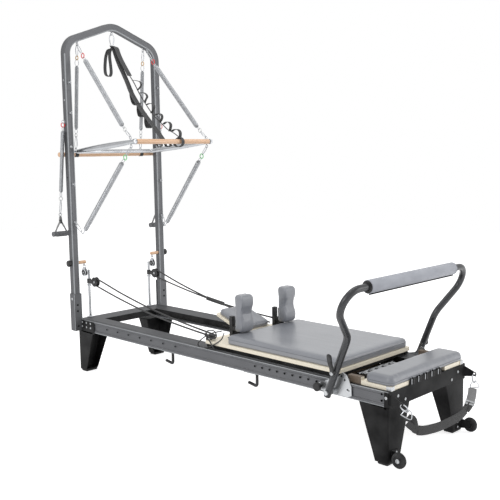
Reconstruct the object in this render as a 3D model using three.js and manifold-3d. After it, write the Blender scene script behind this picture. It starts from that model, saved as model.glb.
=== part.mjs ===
// An aluminium pilates reformer with a half tower, in millimetres, +Z up.
// X runs from the head end, where the tower stands, to the foot end.
// Y runs from the left side to the right.
// The working frame starts at the rails' head end, on the floor and halfway between the rails.

import * as THREE from "three";
import { mergeVertices } from "three/addons/utils/BufferGeometryUtils.js";
import Module from "manifold-3d";

const wasm = await Module();
wasm.setup();

// Driving dimensions

const clearance = 0.3;
const overrun = 2;
const bite = 1;

const frame = { length: 2427, halfWidth: 325, railTop: 343 };

const rail = {
  height: 70,
  topWidth: 112,
  wall: 5,
  ridge: 12,
  web: 4,
  step: 2,
  shoulder: 28,
  bevel: 3,
  lowerFlange: 60,
  trackHeight: 27,
  trackWidth: 30,
};

const leg = {
  foot: 12,
  sheet: 5,
  skinGap: 3.3,
  topAlong: 160,
  footAlong: 70,
  topAcross: 178,
  footAcross: 98,
  topLip: 95,
  footLip: 58,
  plateFrom: 43,
  plateTo: 175,
  footPlate: 22,
};

const headBeam = { width: 124, wall: 5, drop: 2 };

const footBeam = {
  plate: 5,
  height: 76,
  flange: 40,
  flangeOver: 2,
  tabReach: 67,
  tabHeight: 50,
  tabSheet: 6,
  tabInset: 4,
  tabHole: 7,
  tabHoleInset: 11,
};

const roller = {
  radius: 36,
  width: 24,
  bore: 5.4,
  axle: 5,
  reach: 48,
  height: 40,
  inset: 26,
  hub: 15,
  cap: 9,
  lip: 5,
};
const rollerArm = { sheet: 8, base: 4, low: 18, high: 70, baseWidth: 44, nose: 14 };

const hook = {
  xs: [929, 1601],
  rod: 6,
  bend: 12,
  drop: 68,
  reach: 58,
  lift: 10,
  plate: 88,
  sheet: 4,
  width: 18,
};

const socket = { rise: 240, wall: 4, fit: 0.4 };

const upright = {
  x: 13.5,
  depth: 41,
  width: 44.5,
  wall: 3,
  chamfer: 4,
  shoulderRun: 295,
  foot: 287,
  inset: 0.5,
};

const arch = { peak: 2219, peakRise: 129, cornerRadius: 105, peakRadius: 150, arcSteps: 4 };

const eye = { radius: 9, wire: 2.4, stem: 3, stand: 16 };
const eyeHeights = { overSplice: 47, underSplice: 140, third: 1212, lowest: 971 };

const riser = {
  x: 13.5,
  inset: 82,
  radius: 8,
  over: 74,
  base: 22,
  baseHeight: 5,
  collar: 13,
  collarHeight: 12,
};
const pulley = {
  reach: 73,
  height: 581,
  sheave: 26,
  groove: 19,
  sheaveWidth: 15,
  bore: 4.4,
  axle: 4,
  cheek: 3,
  gap: 1,
  outline: 31,
  clamp: 14,
  clampBore: 8.5,
  clampHeight: 40,
  neck: 12,
};

const rope = {
  radius: 4,
  sag: 26,
  sides: 6,
  loops: 2,
  loopLong: 30,
  loopShort: 19,
  loopRise: 12.4,
  endAside: 57,
  endLift: 8,
};
const stud = { inset: 26, sideInset: 25, radius: 5, height: 26, head: 9, headHeight: 4, bore: 5.5 };

const carriage = {
  platformGap: 135,
  railInset: 25,
  headReach: 138,
  boardBottom: 365,
  board: 18,
  corner: 14,
  sideBar: 26,
  sideInset: 10,
  crossWidth: 30,
  frontInset: 35,
  rearInset: 142,
  anchorInset: 45,
  hangerSheet: 7,
  hangerInset: 20,
  hangerDrop: 24,
  hangerReach: 18,
};

const wheel = { radius: 28, width: 18, inset: 135, bore: 6.5, axle: 6, lead: 45, crown: 2 };

const post = {
  padGap: 18,
  placeShare: 0.57,
  size: 25,
  top: 507,
  bore: 0.6,
  gussetReach: 115,
  gussetRise: 62,
  gussetSheet: 6,
};

const pad = { length: 774, footInset: 7, sideInset: 12, height: 46, corner: 24, drawIn: 7 };

const rest = { depth: 64, halfWidth: 48, bottom: 433, height: 207, seat: 0.3 };

const headrest = {
  hingeGap: 28,
  barrel: 6.5,
  length: 240,
  restGap: 13,
  board: 14,
  pad: 30,
  padInset: 4,
  corner: 30,
  web: 6,
  webLength: 24,
  tilt: 19.5,
};

const footbar = {
  pivotInset: 309,
  pivotZ: 292,
  lean: 67.34,
  tube: 17,
  sideReach: 39,
  tail: 20,
  knee: 300,
  kneeRadius: 90,
  shoulderReach: 246,
  shoulderRadius: 84,
  axis: 560,
  bolt: 7,
  boltBore: 7.9,
  boltHead: 12,
  headHeight: 6,
  capRadius: 33,
  capWidth: 10,
  leverHole: 112,
};

const foam = { radius: 31, inset: 12, bevel: 4, bore: 0.5 };

const bracket = { sheet: 5, boss: 15, holeRadius: 4, holeReach: 95 };

const lever = {
  pin: 6,
  pinReach: 34,
  collar: 12,
  collarWidth: 14,
  handle: 10,
  rise: 96,
  lean: 28,
  flare: 34,
  bore: 0.5,
};

const knob = {
  reach: 77,
  z: 300,
  radius: 21,
  width: 22,
  stem: 5,
  stemReach: 12,
  neck: 9,
  bore: 0.5,
};

const platform = {
  length: 165,
  board: 20,
  sideInset: 19,
  slotInset: 183,
  slotDepth: 36,
  runnerLength: 74,
  runnerWidth: 24,
  runnerHeight: 34,
  corner: 26,
  cornerProud: 3,
  pad: 43,
  padInset: 15,
  padOver: 10,
  padSideInset: 8,
  padCorner: 14,
};

const springBar = { inset: 23, z: 331, radius: 7, over: 30, ear: 5, earHeight: 34 };

const carriageSpring = {
  spacingShare: 0.4,
  radius: 12,
  hook: 3,
  hookReach: 9,
  anchor: 10,
  anchorInset: 5,
};

const pushBar = {
  pivotZ: 1415,
  backInset: 24.5,
  barX: 614,
  barZ: 1469,
  tube: 12.5,
  bend: 28,
  pin: 8,
  wood: 15,
  woodInset: 42.5,
  spindle: 5,
  spindleBore: 5.4,
  spindleDepth: 24,
  collar: 16,
  collarWidth: 17,
  eyeBack: 34,
};

const rollDown = {
  x: -55,
  drop: 693,
  radius: 15,
  over: 14,
  eyeInset: 68.5,
  clamp: 17.5,
  clampWidth: 26,
  topX: 6,
  frontX: 30,
  frontInset: 53.5,
};

const linkPlay = 0.6;
const spring = {
  radius: 13,
  wire: 2.4,
  curls: 6,
  link: 8,
  linkWire: 2.2,
  shank: 4,
  top: 26,
  snap: 62,
};
const slimSpring = {
  radius: 10.5,
  wire: 2,
  curls: 5,
  link: 8,
  linkWire: 2.2,
  shank: 4,
  top: 24,
  snap: 92,
};
const coilSteps = 8;
const coilSides = 5;
const ringSteps = 6;
const ringSides = 3;

const armSpring = { underSplice: 195, drop: 582, bottomX: -64 };

const handle = { grip: 15, gripHalf: 58, gripDrop: 121, width: 25, webbing: 3, neckHalf: 7 };

const peg = {
  z: 709,
  radius: 11,
  reach: 63.5,
  knob: 21,
  knobWidth: 26,
  stud: 7,
  hole: 0.9,
  eyeRadius: 8,
  eyeWire: 2.2,
  flat: 3,
};

const swivel = {
  width: 40,
  height: 44,
  cheek: 3,
  gap: 7,
  sheave: 16,
  neck: 5,
  bow: 9,
  bowWire: 2.2,
};

const footStrap = {
  width: 48,
  pad: 9,
  web: 26,
  webSheet: 4,
  snapRadius: 9,
  snapWire: 2.4,
  snapReach: 26,
  inset: 10,
  play: 0.8,
  reach: 53,
  drop: 100,
};

const loopStrap = {
  width: 25,
  sheet: 3,
  loopSheet: 2,
  loopLength: 66,
  loopRise: 26,
  hangLength: 172,
  hangHalf: 30,
  hangWidth: 12,
  clip: 52,
  clipRadius: 9,
  clipWire: 3,
  wrapGap: 1.2,
  aside: 50,
};

const turn = 2 * Math.PI;
const radian = Math.PI / 180;

const railBottom = frame.railTop - rail.height;
const outerFace = frame.halfWidth;
const uprightInner = outerFace + upright.inset;
const uprightOuter = uprightInner + upright.width;
const uprightFront = upright.x + upright.depth / 2;
const uprightBack = upright.x - upright.depth / 2;
const boardTop = carriage.boardBottom + carriage.board;
const trackTop = railBottom + rail.trackHeight;
const axleHeight = trackTop + wheel.radius + clearance;

// Heights that follow from the arch's peak and from the rope pulleys
const archShoulder = arch.peak - arch.peakRise;
const splice = archShoulder - upright.shoulderRun;
const upperEyeZ = splice + eyeHeights.overSplice;
const secondEyeZ = splice - eyeHeights.underSplice;
const rollDownZ = archShoulder - rollDown.drop;
const armSpringTop = splice - armSpring.underSplice;
const armSpringLow = armSpringTop - armSpring.drop;
const gripZ = armSpringLow - handle.gripDrop;
const riserTop = pulley.height + riser.over;

// Places that follow from the frame's length
const platformHead = frame.length - platform.length;
const platformPadHead = platformHead + platform.padInset;
const springBarX = frame.length - springBar.inset;
const pivotX = frame.length - footbar.pivotInset;
const knobX = pivotX - knob.reach;
const carriageFoot = platformHead - carriage.platformGap;
const padFoot = carriageFoot - pad.footInset;
const padHead = padFoot - pad.length;
const postX = padHead - post.padGap;
const hingeX = postX - headrest.hingeGap;
const carriageHead = postX - carriage.headReach;
const studX = carriageHead + stud.inset;
const frontCross = carriageHead + carriage.frontInset;
const rearCross = carriageFoot - carriage.rearInset;
const anchorCross = carriageFoot - carriage.anchorInset;
const springAnchorX = carriageFoot - carriageSpring.anchorInset;

// Places that follow from the frame's width
const riserY = outerFace - riser.inset;
const wheelInner = outerFace - wheel.inset;
const hangerHalf = wheelInner - carriage.hangerInset;
const carriageHalf = outerFace - carriage.railInset;
const studY = carriageHalf - stud.sideInset;
const postY = carriageHalf * post.placeShare;
const padHalf = carriageHalf - pad.sideInset;
const headrestHalf = postY - rest.halfWidth - headrest.restGap;
const platformHalf = outerFace - platform.sideInset;
const platformPadHalf = outerFace - platform.padSideInset;
const slotHalf = outerFace - platform.slotInset;
const springBarHalf = slotHalf + springBar.over;
const springSpacing = slotHalf * carriageSpring.spacingShare;
const flangeHalf = slotHalf + footBeam.flangeOver;
const footbarBase = outerFace + footbar.sideReach;
const footbarShoulder = footbarBase + footbar.shoulderReach;
const foamHalf = footbarBase - foam.inset;
const pushBackY = uprightInner - pushBar.backInset;
const woodHalf = uprightInner - pushBar.woodInset;
const rollHalf = uprightOuter + rollDown.over;
const rollEyeY = uprightInner - rollDown.eyeInset;
const upperEyeY = uprightInner - rollDown.frontInset;
const pegTip = uprightInner - peg.reach;

// Materials

const finish = (color, roughness, metalness) =>
  new THREE.MeshStandardMaterial({ color, roughness, metalness });
const anodised = finish(0x6e7073, 0.42, 0.75);
const blackCoat = finish(0x222326, 0.55, 0.2);
const chrome = finish(0xd8dadd, 0.18, 1);
const stainless = finish(0xc4c6c8, 0.32, 0.9);
const plywood = finish(0xf3dfbf, 0.5, 0);
const beech = finish(0xefcb9b, 0.45, 0);
const vinyl = finish(0xa4a8b0, 0.6, 0);
const blackPlastic = finish(0x1b1c1e, 0.5, 0);
const charcoalGloss = finish(0x3a3c3f, 0.25, 0.4);
const webbing = finish(0x202124, 0.85, 0);
const steel = finish(0x9fa2a6, 0.35, 0.9);

// Solids: joining, cutting and the basic forms

const weld = 1e-4;
const point = (x, y, z) => new THREE.Vector3(x, y, z);
const xAxis = point(1, 0, 0);
const yAxis = point(0, 1, 0);
const zAxis = point(0, 0, 1);
const down = point(0, 0, -1);

function signedVolume(geometry) {
  const flat = geometry.index ? geometry.toNonIndexed() : geometry;
  const position = flat.getAttribute("position");
  const [a, b, c] = [point(0, 0, 0), point(0, 0, 0), point(0, 0, 0)];
  let volume = 0;
  for (let i = 0; i < position.count; i += 3) {
    a.fromBufferAttribute(position, i);
    b.fromBufferAttribute(position, i + 1);
    c.fromBufferAttribute(position, i + 2);
    volume += a.dot(b.cross(c)) / 6;
  }
  return volume;
}

// The same surface with every face turned round.
function turnedOver(geometry) {
  const flat = geometry.index ? geometry.toNonIndexed() : geometry.clone();
  const values = flat.getAttribute("position").array;
  for (let i = 0; i < values.length; i += 9) {
    for (let k = 0; k < 3; k += 1) {
      const kept = values[i + 3 + k];
      values[i + 3 + k] = values[i + 6 + k];
      values[i + 6 + k] = kept;
    }
  }
  return flat;
}

function outward(geometry) {
  return signedVolume(geometry) < 0 ? turnedOver(geometry) : geometry;
}

function solidOf(geometry) {
  const flat = outward(geometry).index ? geometry.toNonIndexed() : outward(geometry);
  const bare = new THREE.BufferGeometry().setAttribute("position", flat.getAttribute("position"));
  const merged = mergeVertices(bare, weld);
  return new wasm.Manifold(
    new wasm.Mesh({
      numProp: 3,
      vertProperties: new Float32Array(merged.getAttribute("position").array),
      triVerts: new Uint32Array(merged.index.array),
    }),
  );
}

function geometryOf(solid) {
  const mesh = solid.getMesh();
  const positions = new Float32Array(mesh.vertProperties);
  const geometry = new THREE.BufferGeometry();
  geometry.setAttribute("position", new THREE.BufferAttribute(positions, 3));
  geometry.setIndex(new THREE.BufferAttribute(new Uint32Array(mesh.triVerts), 1));
  return geometry;
}

const fuse = (...pieces) => geometryOf(pieces.map(solidOf).reduce((whole, piece) => whole.add(piece)));
const cut = (base, ...tools) =>
  geometryOf(tools.map(solidOf).reduce((whole, tool) => whole.subtract(tool), solidOf(base)));

// The right-hand copy of a left-hand piece.
const mirrored = (geometry) => turnedOver(geometry.clone().scale(1, -1, 1));

function block(x0, x1, y0, y1, z0, z1) {
  const box = new THREE.BoxGeometry(Math.abs(x1 - x0), Math.abs(y1 - y0), Math.abs(z1 - z0));
  return box.translate((x0 + x1) / 2, (y0 + y1) / 2, (z0 + z1) / 2);
}

function rod(from, to, radius, sides = 12) {
  const along = to.clone().sub(from);
  const middle = from.clone().add(to).multiplyScalar(1 / 2);
  return new THREE.CylinderGeometry(radius, radius, along.length(), sides)
    .applyQuaternion(new THREE.Quaternion().setFromUnitVectors(yAxis, along.normalize()))
    .translate(middle.x, middle.y, middle.z);
}

// A rod across the machine.
const crossRod = (x, z, y0, y1, radius, sides) => rod(point(x, y0, z), point(x, y1, z), radius, sides);

// A turned form: its profile holds radius and distance along the direction.
function turned(profile, base, direction, sides = 16) {
  const outline = profile.map(([radius, height]) => new THREE.Vector2(radius, height));
  return outward(
    new THREE.LatheGeometry(outline, sides)
      .applyQuaternion(new THREE.Quaternion().setFromUnitVectors(yAxis, direction.clone().normalize()))
      .translate(base.x, base.y, base.z),
  );
}

// A wire ring whose flats face both ways along the pull, so that two rings can hang in each other.
function torus(centre, normal, radius, wire, pull) {
  const along = pull.clone().addScaledVector(normal, -pull.dot(normal)).normalize();
  const basis = new THREE.Matrix4().makeBasis(along, normal.clone().cross(along), normal);
  return new THREE.TorusGeometry(radius, wire, ringSides, ringSteps)
    .rotateZ(turn / ringSteps / 2)
    .applyMatrix4(basis)
    .translate(centre.x, centre.y, centre.z);
}

// How far a ring's inner side lies from its centre along the pull.
const ringReach = (radius, wire) =>
  (radius - wire * Math.cos(turn / ringSides / 2)) * Math.cos(turn / ringSteps / 2);

const outlineOf = (points) => new THREE.Shape(points.map(([u, v]) => new THREE.Vector2(u, v)));

const curveSegments = 5;

// Plates: an outline drawn in one plane of the frame and given its thickness across it.
function plateAlongX(shape, x0, x1) {
  const depth = Math.abs(x1 - x0);
  const basis = new THREE.Matrix4().makeBasis(yAxis, zAxis, xAxis);
  return new THREE.ExtrudeGeometry(shape, { depth, bevelEnabled: false, curveSegments })
    .applyMatrix4(basis)
    .translate(Math.min(x0, x1), 0, 0);
}

function plateAlongY(shape, y0, y1) {
  const depth = Math.abs(y1 - y0);
  const basis = new THREE.Matrix4().makeBasis(xAxis, zAxis, point(0, -1, 0));
  return new THREE.ExtrudeGeometry(shape, { depth, bevelEnabled: false, curveSegments })
    .applyMatrix4(basis)
    .translate(0, Math.max(y0, y1), 0);
}

function plateAlongZ(shape, z0, z1) {
  const depth = Math.abs(z1 - z0);
  return new THREE.ExtrudeGeometry(shape, { depth, bevelEnabled: false, curveSegments }).translate(
    0,
    0,
    Math.min(z0, z1),
  );
}

// Rings of equal point counts joined into one closed solid.
// The outline is one ring laid flat, for the ends.
function loft(rings, outline) {
  const count = rings[0].length;
  const vertices = rings.flat().flatMap((p) => [p.x, p.y, p.z]);
  const faces = [];
  for (let ring = 0; ring + 1 < rings.length; ring += 1) {
    for (let i = 0; i < count; i += 1) {
      const a = ring * count + i;
      const b = ring * count + ((i + 1) % count);
      faces.push(a, b, b + count, a, b + count, a + count);
    }
  }
  const clockwise = THREE.ShapeUtils.isClockWise(outline);
  const last = (rings.length - 1) * count;
  for (const [a, b, c] of THREE.ShapeUtils.triangulateShape(outline, [])) {
    const asDrawn = THREE.ShapeUtils.isClockWise([outline[a], outline[b], outline[c]]) === clockwise;
    const [first, second] = asDrawn ? [b, c] : [c, b];
    faces.push(a, second, first);
    faces.push(last + a, last + first, last + second);
  }
  const geometry = new THREE.BufferGeometry();
  geometry.setAttribute("position", new THREE.Float32BufferAttribute(vertices, 3));
  geometry.setIndex(faces);
  return outward(geometry);
}

const seenFromAbove = (ring) => ring.map((p) => new THREE.Vector2(p.x, p.y));
const seenFromSide = (ring) => ring.map((p) => new THREE.Vector2(p.x, p.z));

// A path of straight runs with round corners of the given radii.
class Bend extends THREE.Curve {
  constructor(centre, first, last) {
    super();
    this.centre = centre;
    this.first = first;
    this.axis = first.clone().cross(last).normalize();
    this.angle = first.angleTo(last);
  }

  getPoint(t, target = new THREE.Vector3()) {
    return target.copy(this.first).applyAxisAngle(this.axis, this.angle * t).add(this.centre);
  }
}

function bentRoute(points, radii) {
  const route = new THREE.CurvePath();
  let start = points[0];
  for (let i = 1; i + 1 < points.length; i += 1) {
    const back = points[i - 1].clone().sub(points[i]).normalize();
    const ahead = points[i + 1].clone().sub(points[i]).normalize();
    const half = back.angleTo(ahead) / 2;
    const reach = radii[i - 1] / Math.tan(half);
    const enter = points[i].clone().addScaledVector(back, reach);
    const leave = points[i].clone().addScaledVector(ahead, reach);
    const inward = back.clone().add(ahead).normalize();
    const centre = points[i].clone().addScaledVector(inward, radii[i - 1] / Math.sin(half));
    route.add(new THREE.LineCurve3(start, enter));
    route.add(new Bend(centre, enter.clone().sub(centre), leave.clone().sub(centre)));
    start = leave;
  }
  route.add(new THREE.LineCurve3(start, points[points.length - 1]));
  return route;
}

// Stations of a bent route: the ends of its straight runs and a few along each bend.
function stations(route, arcSteps) {
  const found = [];
  for (const piece of route.curves) {
    const steps = piece instanceof Bend ? arcSteps : 1;
    for (let i = 0; i < steps; i += 1) found.push(piece.getPoint(i / steps));
  }
  found.push(route.curves[route.curves.length - 1].getPoint(1));
  return found;
}

// Round sections carried along a list of points without twisting.
function roundRings(points, radius, sides) {
  const rings = [];
  let across = null;
  points.forEach((centre, i) => {
    const before = points[Math.max(i - 1, 0)];
    const after = points[Math.min(i + 1, points.length - 1)];
    const along = after.clone().sub(before).normalize();
    if (!across) across = Math.abs(along.y) > Math.abs(along.x) ? xAxis.clone() : yAxis.clone();
    across = across.clone().addScaledVector(along, -across.dot(along)).normalize();
    const second = along.clone().cross(across);
    rings.push(
      Array.from({ length: sides }, (_, k) => {
        const angle = (turn * k) / sides;
        return centre
          .clone()
          .addScaledVector(across, radius * Math.cos(angle))
          .addScaledVector(second, radius * Math.sin(angle));
      }),
    );
  });
  return rings;
}

// A round wire through the points.
function wireThrough(points, radius, sides) {
  const circle = Array.from(
    { length: sides },
    (_, k) => new THREE.Vector2(Math.cos((turn * k) / sides), Math.sin((turn * k) / sides)),
  );
  return loft(roundRings(points, radius, sides), circle);
}

function bentTube(points, radii, radius, sides, arcSteps) {
  return wireThrough(stations(bentRoute(points, radii), arcSteps), radius, sides);
}

const ribbonCorners = [
  [1, 1],
  [-1, 1],
  [-1, -1],
  [1, -1],
].map(([u, v]) => new THREE.Vector2(u, v));

// Flat webbing through the points, its width lying along the given direction.
function ribbon(points, widthDirection, width, thickness) {
  const rings = points.map((centre, i) => {
    const before = points[Math.max(i - 1, 0)];
    const after = points[Math.min(i + 1, points.length - 1)];
    const along = after.clone().sub(before).normalize();
    const across = widthDirection.clone().addScaledVector(along, -widthDirection.dot(along)).normalize();
    const through = along.clone().cross(across);
    return ribbonCorners.map((corner) =>
      centre
        .clone()
        .addScaledVector(across, (corner.x * width) / 2)
        .addScaledVector(through, (corner.y * thickness) / 2),
    );
  });
  return loft(rings, ribbonCorners);
}

// Smooth points along a curve through the given ones.
const smooth = (points, count) =>
  new THREE.CatmullRomCurve3(points, false, "centripetal").getSpacedPoints(count);

// The least space between parts of one wire that aren't neighbours along it.
function leastGap(points, radius, neighbours) {
  let least = Infinity;
  points.forEach((a, i) => {
    for (const b of points.slice(i + neighbours)) least = Math.min(least, a.distanceTo(b));
  });
  return least - 2 * radius;
}

// A cushion with drawn-in sides and a crown: each level holds shares of the height and of the draw-in.
const cushionShares = [
  [0, 1],
  [0.22, 0.15],
  [0.6, 0],
  [0.84, 0.55],
  [0.94, 1.9],
];
const crownInsetShare = 0.3;

function roundedRing(x0, x1, y0, y1, z, corner, inset, cornerSteps = 3) {
  const radius = Math.max(corner - inset, corner * crownInsetShare);
  const centres = [
    [x1 - inset - radius, y1 - inset - radius, 0],
    [x0 + inset + radius, y1 - inset - radius, 1],
    [x0 + inset + radius, y0 + inset + radius, 2],
    [x1 - inset - radius, y0 + inset + radius, 3],
  ];
  return centres.flatMap(([x, y, quarter]) =>
    Array.from({ length: cornerSteps + 1 }, (_, k) => {
      const angle = (turn / 4) * (quarter + k / cornerSteps);
      return point(x + radius * Math.cos(angle), y + radius * Math.sin(angle), z);
    }),
  );
}

function cushion({ x0, x1, y0, y1, z0, height, corner, drawIn }) {
  const rings = cushionShares.map(([rise, inset]) =>
    roundedRing(x0, x1, y0, y1, z0 + height * rise, corner, drawIn * inset),
  );
  const crownInset = (Math.min(x1 - x0, y1 - y0) / 2) * crownInsetShare;
  rings.push(roundedRing(x0, x1, y0, y1, z0 + height, corner, crownInset));
  return loft(rings, seenFromAbove(rings[0]));
}

// The object and its placing helper

const object = new THREE.Group();

function add(name, geometry, material) {
  const mesh = new THREE.Mesh(geometry, material);
  mesh.name = name;
  object.add(mesh);
  return mesh;
}

function addPair(name, geometry, material) {
  add(name + "_left", geometry, material);
  add(name + "_right", mirrored(geometry), material);
}

// An eyebolt: a ring on a stem that points from the carrying face.
function eyebolt(base, direction, normal) {
  const way = direction.clone().normalize();
  const centre = base.clone().addScaledVector(way, eye.stand);
  const stemTop = base.clone().addScaledVector(way, eye.stand - eye.radius + eye.wire / 2);
  const sunk = base.clone().addScaledVector(way, -overrun);
  return [
    torus(centre, normal, eye.radius, eye.wire, way),
    rod(sunk, stemTop, eye.stem, 4),
  ];
}
const eyeCentre = (base, direction) =>
  base.clone().addScaledVector(direction.clone().normalize(), eye.stand);

// Rails

function railProfile() {
  const out = -outerFace;
  const top = rail.height;
  const inner = rail.topWidth;
  return [
    [0, 0],
    [rail.lowerFlange, 0],
    [rail.lowerFlange, rail.wall],
    [rail.web + rail.wall, rail.wall],
    [rail.web + rail.wall, top - rail.wall],
    [inner - rail.wall, top - rail.wall],
    [inner - rail.wall, rail.trackHeight - rail.wall],
    [inner + rail.trackWidth, rail.trackHeight - rail.wall],
    [inner + rail.trackWidth, rail.trackHeight],
    [inner, rail.trackHeight],
    [inner, top],
    [rail.shoulder, top],
    [rail.shoulder - rail.step, top - rail.step],
    [rail.bevel, top - rail.step],
    [0, top - rail.step - rail.bevel],
    [0, top - rail.ridge],
    [rail.web, top - rail.ridge - rail.web],
    [rail.web, rail.ridge + rail.web],
    [0, rail.ridge],
  ].map(([u, v]) => [out + u, railBottom + v]);
}

// A channel on the rail's outer face that takes the foot of the upright.
function socketChannel() {
  const near = uprightBack - socket.fit;
  const far = uprightFront + socket.fit;
  const outer = uprightOuter + socket.fit;
  const bottom = railBottom;
  const top = bottom + socket.rise;
  const floor = upright.foot - clearance - socket.wall;
  const wall = socket.wall;
  const inner = -outerFace + rail.web;
  return [
    block(near - wall, near, -outer - wall, inner, bottom, top),
    block(far, far + wall, -outer - wall, inner, bottom, top),
    block(near - wall, far + wall, -outer - wall, -outer, bottom, top),
    block(near - wall, far + wall, -outer - wall, inner, bottom, floor),
  ];
}

function storageHook(x) {
  const y = -outerFace + rail.lowerFlange / 4;
  const under = railBottom - hook.sheet;
  const half = hook.width / 2;
  const low = railBottom - hook.drop;
  const path = [
    point(x, y, under),
    point(x, y, low),
    point(x - hook.reach, y, low + hook.lift),
  ];
  return [
    block(x - hook.plate, x + hook.width, y - half, y + half, under, railBottom + rail.wall / 2),
    bentTube(path, [hook.bend], hook.rod, 6, 3),
  ];
}

const railSolid = plateAlongX(outlineOf(railProfile()), 0, frame.length);
add("rail_left", fuse(railSolid, ...socketChannel(), ...hook.xs.flatMap(storageHook)), anodised);
add("rail_right", mirrored(fuse(railSolid, ...socketChannel())), anodised);

// Crossbeams

function headCrossbeam() {
  const half = outerFace - rail.topWidth - clearance;
  const top = frame.railTop;
  const bottom = railBottom + rail.trackHeight + clearance;
  const outer = plateAlongY(
    outlineOf([
      [0, bottom],
      [headBeam.width, bottom],
      [headBeam.width, top - headBeam.drop],
      [headBeam.width - headBeam.drop, top],
      [headBeam.drop, top],
      [0, top - headBeam.drop],
    ]),
    -half,
    half,
  );
  const core = block(
    headBeam.wall,
    headBeam.width - headBeam.wall,
    -half - overrun,
    half + overrun,
    bottom + headBeam.wall,
    top - headBeam.wall,
  );
  return cut(outer, core);
}
add("head_crossbeam", headCrossbeam(), anodised);

const beamBack = frame.length + clearance;
const beamFront = beamBack + footBeam.plate;
const beamBottom = frame.railTop - footBeam.height;

function eyeTab() {
  const yOut = -outerFace + footBeam.tabInset;
  const mid = frame.railTop - footBeam.height / 2;
  const tip = beamFront + footBeam.tabReach;
  const half = footBeam.tabHeight / 2;
  const nose = footBeam.tabHoleInset;
  const shape = new THREE.Shape();
  shape.moveTo(beamBack + footBeam.plate / 2, mid + half);
  shape.lineTo(beamFront + footBeam.plate, mid + half);
  shape.lineTo(tip - nose, mid + nose - footBeam.plate);
  shape.absarc(tip - nose, mid - footBeam.plate, nose, turn / 4, -turn / 4, true);
  shape.lineTo(beamFront + footBeam.plate, mid - half);
  shape.lineTo(beamBack + footBeam.plate / 2, mid - half);
  const holeAt = point(tip - nose, 0, mid - footBeam.plate);
  return {
    plate: plateAlongY(shape, yOut, yOut + footBeam.tabSheet),
    hole: rod(
      point(holeAt.x, yOut - overrun, holeAt.z),
      point(holeAt.x, yOut + footBeam.tabSheet + overrun, holeAt.z),
      footBeam.tabHole,
      8,
    ),
    centre: point(holeAt.x, yOut + footBeam.tabSheet / 2, holeAt.z),
  };
}
const strapEye = eyeTab().centre;

function footCrossbeam() {
  const plate = block(beamBack, beamFront, -outerFace, outerFace, beamBottom, frame.railTop);
  const flange = block(
    beamBack - footBeam.flange,
    beamBack + footBeam.plate / 2,
    -flangeHalf,
    flangeHalf,
    beamBottom,
    beamBottom + footBeam.plate,
  );
  const tab = eyeTab();
  return cut(fuse(plate, flange, tab.plate, mirrored(tab.plate)), tab.hole, mirrored(tab.hole));
}
add("foot_crossbeam", footCrossbeam(), blackCoat);

// Legs of folded sheet: an outer face along the rail, an end face and a lip, all tapering to the foot.

function legSection(z, along, across, lip, corner) {
  const { x, way } = corner;
  const y = -outerFace - leg.skinGap;
  const t = leg.sheet;
  return [
    [way * along, 0],
    [0, 0],
    [0, across],
    [way * lip, across],
    [way * lip, across - t],
    [way * t, across - t],
    [way * t, t],
    [way * along, t],
  ].map(([u, v]) => point(x + u, y + v, z));
}

function legSolid(corner, skinRun) {
  const top = railBottom - clearance;
  const section = (z, along, across, lip) => legSection(z, along, across, lip, corner);
  const lower = section(leg.foot, leg.footAlong, leg.footAcross, leg.footLip);
  const upper = section(top, leg.topAlong, leg.topAcross, leg.topLip);
  const shell = loft([lower, upper], seenFromAbove(lower));
  const y = -outerFace - leg.skinGap;
  const far = corner.x + corner.way * leg.topLip;
  const cap = block(corner.x, far, y, y + leg.topAcross, top - leg.sheet, top);
  const footFar = corner.x + corner.way * leg.footAlong;
  const foot = block(corner.x, footFar, y, y + leg.footAcross, 0, leg.foot + leg.sheet);
  const [from, to] = skinRun;
  const skin = block(from, to, y, -outerFace - clearance, top - leg.foot, frame.railTop - rail.step);
  return fuse(shell, cap, foot, skin);
}

const axleX = frame.length + roller.reach;
const armY = -outerFace + roller.inset + clearance;

// The transport wheel's bracket, its axle and the axle's cap.
function wheelBracket() {
  const base = block(
    frame.length - bite,
    frame.length + rollerArm.base,
    armY,
    armY + rollerArm.baseWidth,
    rollerArm.low,
    rollerArm.high,
  );
  const shape = new THREE.Shape();
  shape.moveTo(frame.length, rollerArm.low);
  shape.lineTo(axleX, roller.height - rollerArm.nose);
  shape.absarc(axleX, roller.height, rollerArm.nose, -turn / 4, turn / 4, false);
  shape.lineTo(frame.length, rollerArm.high);
  const arm = plateAlongY(shape, armY, armY + rollerArm.sheet);
  const outer = armY - roller.width - 2 * clearance;
  const axle = rod(
    point(axleX, armY + bite, roller.height),
    point(axleX, outer, roller.height),
    roller.axle,
    10,
  );
  const cap = rod(
    point(axleX, outer, roller.height),
    point(axleX, outer - roller.lip, roller.height),
    roller.cap,
    10,
  );
  return [base, arm, axle, cap];
}

const headCorner = { x: 0, way: 1 };
const footCorner = { x: frame.length, way: -1 };
const headLeg = legSolid(headCorner, [leg.plateFrom, leg.plateTo]);
const footSkin = [frame.length - leg.footPlate, frame.length];
const footLeg = fuse(legSolid(footCorner, footSkin), ...wheelBracket());
addPair("head_leg", headLeg, blackCoat);
addPair("foot_leg", footLeg, blackCoat);

function transportWheel() {
  const half = roller.width / 2;
  const flat = half - roller.lip;
  return turned(
    [
      [roller.bore, -half],
      [roller.hub, -half],
      [roller.radius - roller.lip, -flat],
      [roller.radius, 0],
      [roller.radius - roller.lip, flat],
      [roller.hub, half],
      [roller.bore, half],
      [roller.bore, -half],
    ],
    point(axleX, armY - clearance - half, roller.height),
    yAxis,
    14,
  );
}
addPair("transport_wheel", transportWheel(), blackPlastic);

// Tower

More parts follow.
